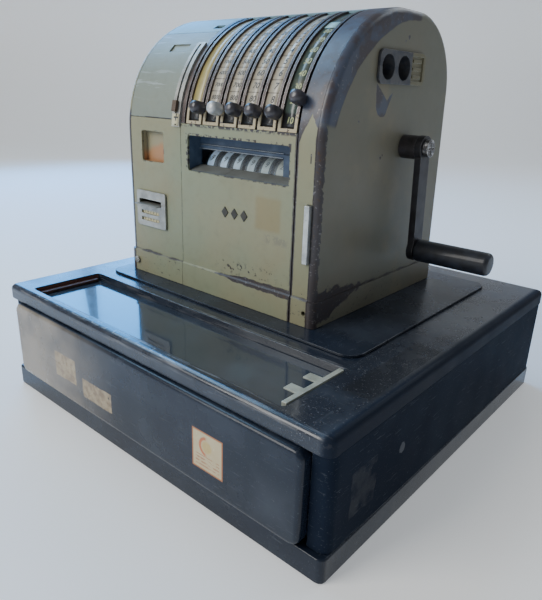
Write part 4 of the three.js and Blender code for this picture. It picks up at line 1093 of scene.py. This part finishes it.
# ---- Finishes of the CAD nodes ----
def finish_nodes():
    """Gives each CAD node its finish and softly rounded edges."""
    machined = steel("machined_steel")
    rusty = steel("rusty_steel", (0.30, 0.29, 0.28), "z", 0.3)
    aged = worn_metal("aged_metal", BROWN_METAL, (0.42, 0.40, 0.39))
    pale = worn_metal("pale_metal", (0.42, 0.43, 0.41), (0.72, 0.74, 0.74), roughness=0.36, metallic=0.6)
    black = black_enamel("black_enamel")
    silver_lines = lambda sh: (sh.edges(1.5) * sh.clouds(20, 13, 0.4, 0.6, 4),)
    shell = black_enamel("cabinet_enamel", layers=shell_layers, dust=0.05, edge=1.6, shine=0.1,
                         dull=lambda sh: 0.8)
    finishes = {
        "plinth": black,
        "cabinet_shell": shell,
        "cabinet_lid": black_enamel("lid_enamel", lid_marks, lid_layers, dust=0.5, shine=0.5, dull=lid_dull),
        "platform_plate": black_enamel("platform_enamel", silver_lines, dust=0.4),
        "drawer_front": black_enamel("drawer_enamel_and_painted_light", layers=drawer_layers, dust=0.3),
        "tray_plate": glass_plate("tray_glass"),
        "tray_bar": worn_metal("tray_bar_metal", (0.45, 0.47, 0.40), (0.70, 0.72, 0.66), metallic=0.2),
        "tray_strip": worn_metal("tray_strip_metal", (0.12, 0.06, 0.05), (0.36, 0.30, 0.28), metallic=0.3),
        "coin_insert": wood("drawer_wood"),
        "drawer_box": rusty,
        "left_cheek": enamel("left_cheek_enamel", left_cheek_marks),
        # The right cheek's colours are darkened as painted shade.
        "right_cheek": enamel("right_cheek_enamel_painted_shade", right_cheek_marks, paint_and_painted_light=OLIVE_PAINTED_SHADE),
        "left_front_panel": enamel("left_panel_enamel", left_panel_marks),
        "center_front_panel": enamel("center_panel_enamel", center_marks, center_stains),
        "right_strip": enamel("right_strip_enamel", strip_marks, paint_and_painted_light=WARM_OLIVE),
        # The arch and the crown carry a painted sky reflection in their colours and stripes.
        "left_arch_shell": enamel("arch_enamel_painted_sky", arch_marks, streaks, paint_and_painted_light=OLIVE_PAINTED_SKY_SHEEN, waves=0.35),
        "crown_cover": enamel("crown_enamel_painted_sky", stains_and_sheen=streaks, paint_and_painted_light=OLIVE_PAINTED_SKY_REFLECTION, waves=0.3),
        "rear_cover": enamel("rear_enamel", rear_marks),
        "column_rails": rails("column_metal"),
        "indicator_hood": hood_paint("hood_paint"),
        "indicator_glass": window_glass("pane_glass"),
        "journal_pocket": amber_plate("journal_amber_and_painted_shadow"),
        "receipt_plate": pale,
        "receipt_lip": pale,
        "selector_guide": worn_metal("guide_metal", (0.40, 0.39, 0.36), (0.75, 0.75, 0.72), metallic=0.5,
                                     amount=0.6),
        "selector_lever": worn_metal("selector_metal", (0.13, 0.09, 0.065), (0.30, 0.25, 0.2), metallic=0.3),
        "push_bar": worn_metal("bar_metal", (0.55, 0.57, 0.56), (0.82, 0.85, 0.85), roughness=0.3,
                               metallic=0.7),
        "case_screw": pale,
        "counter_bezel": bezel_metal("bezel_metal"),
        "crank_bush": worn_metal("bush_metal", (0.10, 0.09, 0.095), (0.40, 0.39, 0.38)),
        "crank_arm": worn_metal("arm_metal", (0.055, 0.052, 0.058), (0.36, 0.36, 0.36), metallic=0.6),
        "crank_screw": worn_metal("screw_metal", (0.2, 0.19, 0.19), (0.9, 0.9, 0.9), amount=1.0),
        "crank_grip": bakelite("grip_bakelite", (0.008, 0.010, 0.016), 0.25),
        "paper_roll": paper("journal_paper", (0.66, 0.62, 0.52)),
        "crank_gear": steel("gear_steel", (0.45, 0.36, 0.2)),
        "main_gear": steel("main_gear_steel", (0.45, 0.36, 0.2)),
        "runner_left": rusty,
        "runner_right": rusty,
        "mechanism_base": rusty,
        "frame_plate_left": aged,
        "frame_plate_right": aged,
    }
    for name, node in NODES.items():
        if name.startswith(("set_lever_", "indicator_wheel_")):
            continue
        node.data.materials.clear()
        node.data.materials.append(finishes.get(name, machined))
        soften(node, EDGE_WIDTHS.get(name, 0.4))


EDGE_WIDTHS = {
    "plinth": 1.0, "cabinet_lid": 0.8, "drawer_front": 0.8, "cabinet_shell": 0.8,
    "column_rails": 0.5, "receipt_plate": 0.5, "counter_bezel": 0.35, "indicator_hood": 0.3,
    "receipt_lip": 0.15, "tray_plate": 0.5, "crank_arm": 0.6, "push_bar": 0.6,
}


def build_pieces():
    number_ink = ink("number_ink", (0.022, 0.02, 0.022))
    cream = [strip_paper(f"cream_strip_{i}", (0.47, 0.43, 0.34), 0.9) for i in (2, 3, 4, 5)]
    yellow = strip_paper("yellow_strip", (0.44, 0.37, 0.15), 0.0)
    green = strip_paper("green_strip", (0.06, 0.085, 0.072), 0.0, bleach=0.0)
    papers = [yellow, *cream, green]
    inks = [number_ink] * (LEVERS - 1) + [ink("pale_ink", (0.30, 0.32, 0.15))]
    arm_steel = steel("lever_steel", (0.30, 0.30, 0.31), "z")
    knob_black = bakelite("knob_bakelite", (0.03, 0.028, 0.034))
    knob_bare = worn_metal("bare_knob", (0.62, 0.64, 0.65), (0.95, 0.97, 0.97), edge=3, amount=0.9,
                           metallic=0.4)
    wheel_ink = ink("wheel_ink", (0.12, 0.12, 0.12))
    for i in range(LEVERS):
        number_strip(i, papers, inks)
        lever(i, arm_steel, knob_bare if i == 1 else knob_black)
        # Painted light: the wheels run from a bluish painted sky reflection on the left to yellowish grey on
        # the right, and the left ones glow more.
        share = i / (LEVERS - 1)
        tint = tuple(a + (b - a) * share for a, b in zip((0.62, 0.76, 0.95), (0.46, 0.46, 0.38)))
        middle = pivot(f"wheel_{i + 1}_turn")[0]
        wheel(i, wheel_paint(f"wheel_paint_{i + 1}", tint, middle, 0.34 - 0.26 * share), wheel_ink)
    tape_piece(paper("light_tape", (0.36, 0.66, 0.74)))
    rail = worn_metal("rail_metal", (0.24, 0.27, 0.31), (0.5, 0.55, 0.6), metallic=0.4)
    pane_trim(rail)
    badge(worn_metal("badge_metal", (0.05, 0.048, 0.04), (0.38, 0.36, 0.28), edge=0.7, metallic=0.2))
    cream_paper = paper("cream_paper", (0.60, 0.56, 0.36))
    receipt_strips(cream_paper, number_ink)
    rear_screws(rail)
    selector_label(cream_paper, number_ink)


# ---- Stage, light and camera (degrees and metres) ----
CAMERA_PAN = 40.512
CAMERA_TILT = -20.151
CAMERA_ROLL = 1.947
CAMERA_PLACE = (0.3901, -0.4768, 0.3319)


def add_stage():
    """A pale sweep: a floor that curves up into a wall."""
    sh = Shader("pale_floor")
    tone = sh.mix(sh.noise(600, 1, 2), (0.78, 0.79, 0.80), (0.82, 0.82, 0.82))
    material = sh.finish(tone, 0.8, emission_color=(0.95, 0.98, 1.0, 1.0), emission_strength=0.28)
    radius, near, far, top, half = 700, -4000, 3200, 1150, 9000
    turns = [math.pi / 2 * k / 12 for k in range(13)]
    curve = [(far - radius + radius * math.sin(turn), radius - radius * math.cos(turn)) for turn in turns]
    profile = [(near, 0), *curve, (far, top)]
    bm = bmesh.new()
    rows = [[bm.verts.new((x, y, z)) for x in (-half, half)] for y, z in profile]
    for a, b in zip(rows, rows[1:]):
        bm.faces.new((a[0], a[1], b[1], b[0]))
    sweep = linked("studio_sweep", scaled(to_mesh(bm, "sweep"), material))
    sweep.matrix_world = Matrix.Rotation(math.radians(CAMERA_PAN), 4, "Z")


def area_light(name, location, size, energy, color):
    """A rectangular light aimed at the middle of the register."""
    light = bpy.data.lights.new(name, "AREA")
    light.shape = "RECTANGLE"
    light.size, light.size_y = size
    light.energy = energy
    light.color = color
    obj = linked(name, light)
    obj.location = location
    aim = Vector((0, 0, 0.22)) - Vector(location)
    obj.rotation_euler = aim.to_track_quat("-Z", "Y").to_euler()


def add_lights():
    area_light("key", (-0.9, -2.0, 1.5), (1.4, 1.4), 50, (1.0, 0.985, 0.94))
    for k, y in enumerate((0.48, 1.02)):
        area_light(f"window_{k + 1}", (-1.62, y, 1.02), (0.46, 1.5), 18, (0.075, 0.41, 1.0))
    area_light("skylight", (-1.5, -0.1, 1.9), (1.2, 0.8), 22, (0.42, 0.70, 1.0))
    area_light("sky_back", (0.4, 2.0, 1.9), (2.2, 0.8), 16, (0.85, 0.93, 1.0))
    world = bpy.data.worlds.new("studio")
    world.use_nodes = True
    background = world.node_tree.nodes["Background"]
    background.inputs["Color"].default_value = (0.90, 0.95, 1.0, 1.0)
    background.inputs["Strength"].default_value = 0.25
    bpy.context.scene.world = world


def add_camera():
    """The place and direction the reference was seen from."""
    camera = bpy.data.cameras.new("camera")
    camera.lens = 34.2
    camera.sensor_width = 36
    camera.clip_start = 0.02
    obj = linked("camera", camera)
    pan = Matrix.Rotation(math.radians(CAMERA_PAN), 4, "Z")
    tilt = Matrix.Rotation(math.radians(90 + CAMERA_TILT), 4, "X")
    roll = Matrix.Rotation(math.radians(CAMERA_ROLL), 4, "Z")
    obj.matrix_world = Matrix.Translation(CAMERA_PLACE) @ pan @ tilt @ roll
    bpy.context.scene.camera = obj


finish_nodes()
build_pieces()
add_stage()
add_lights()
add_camera()
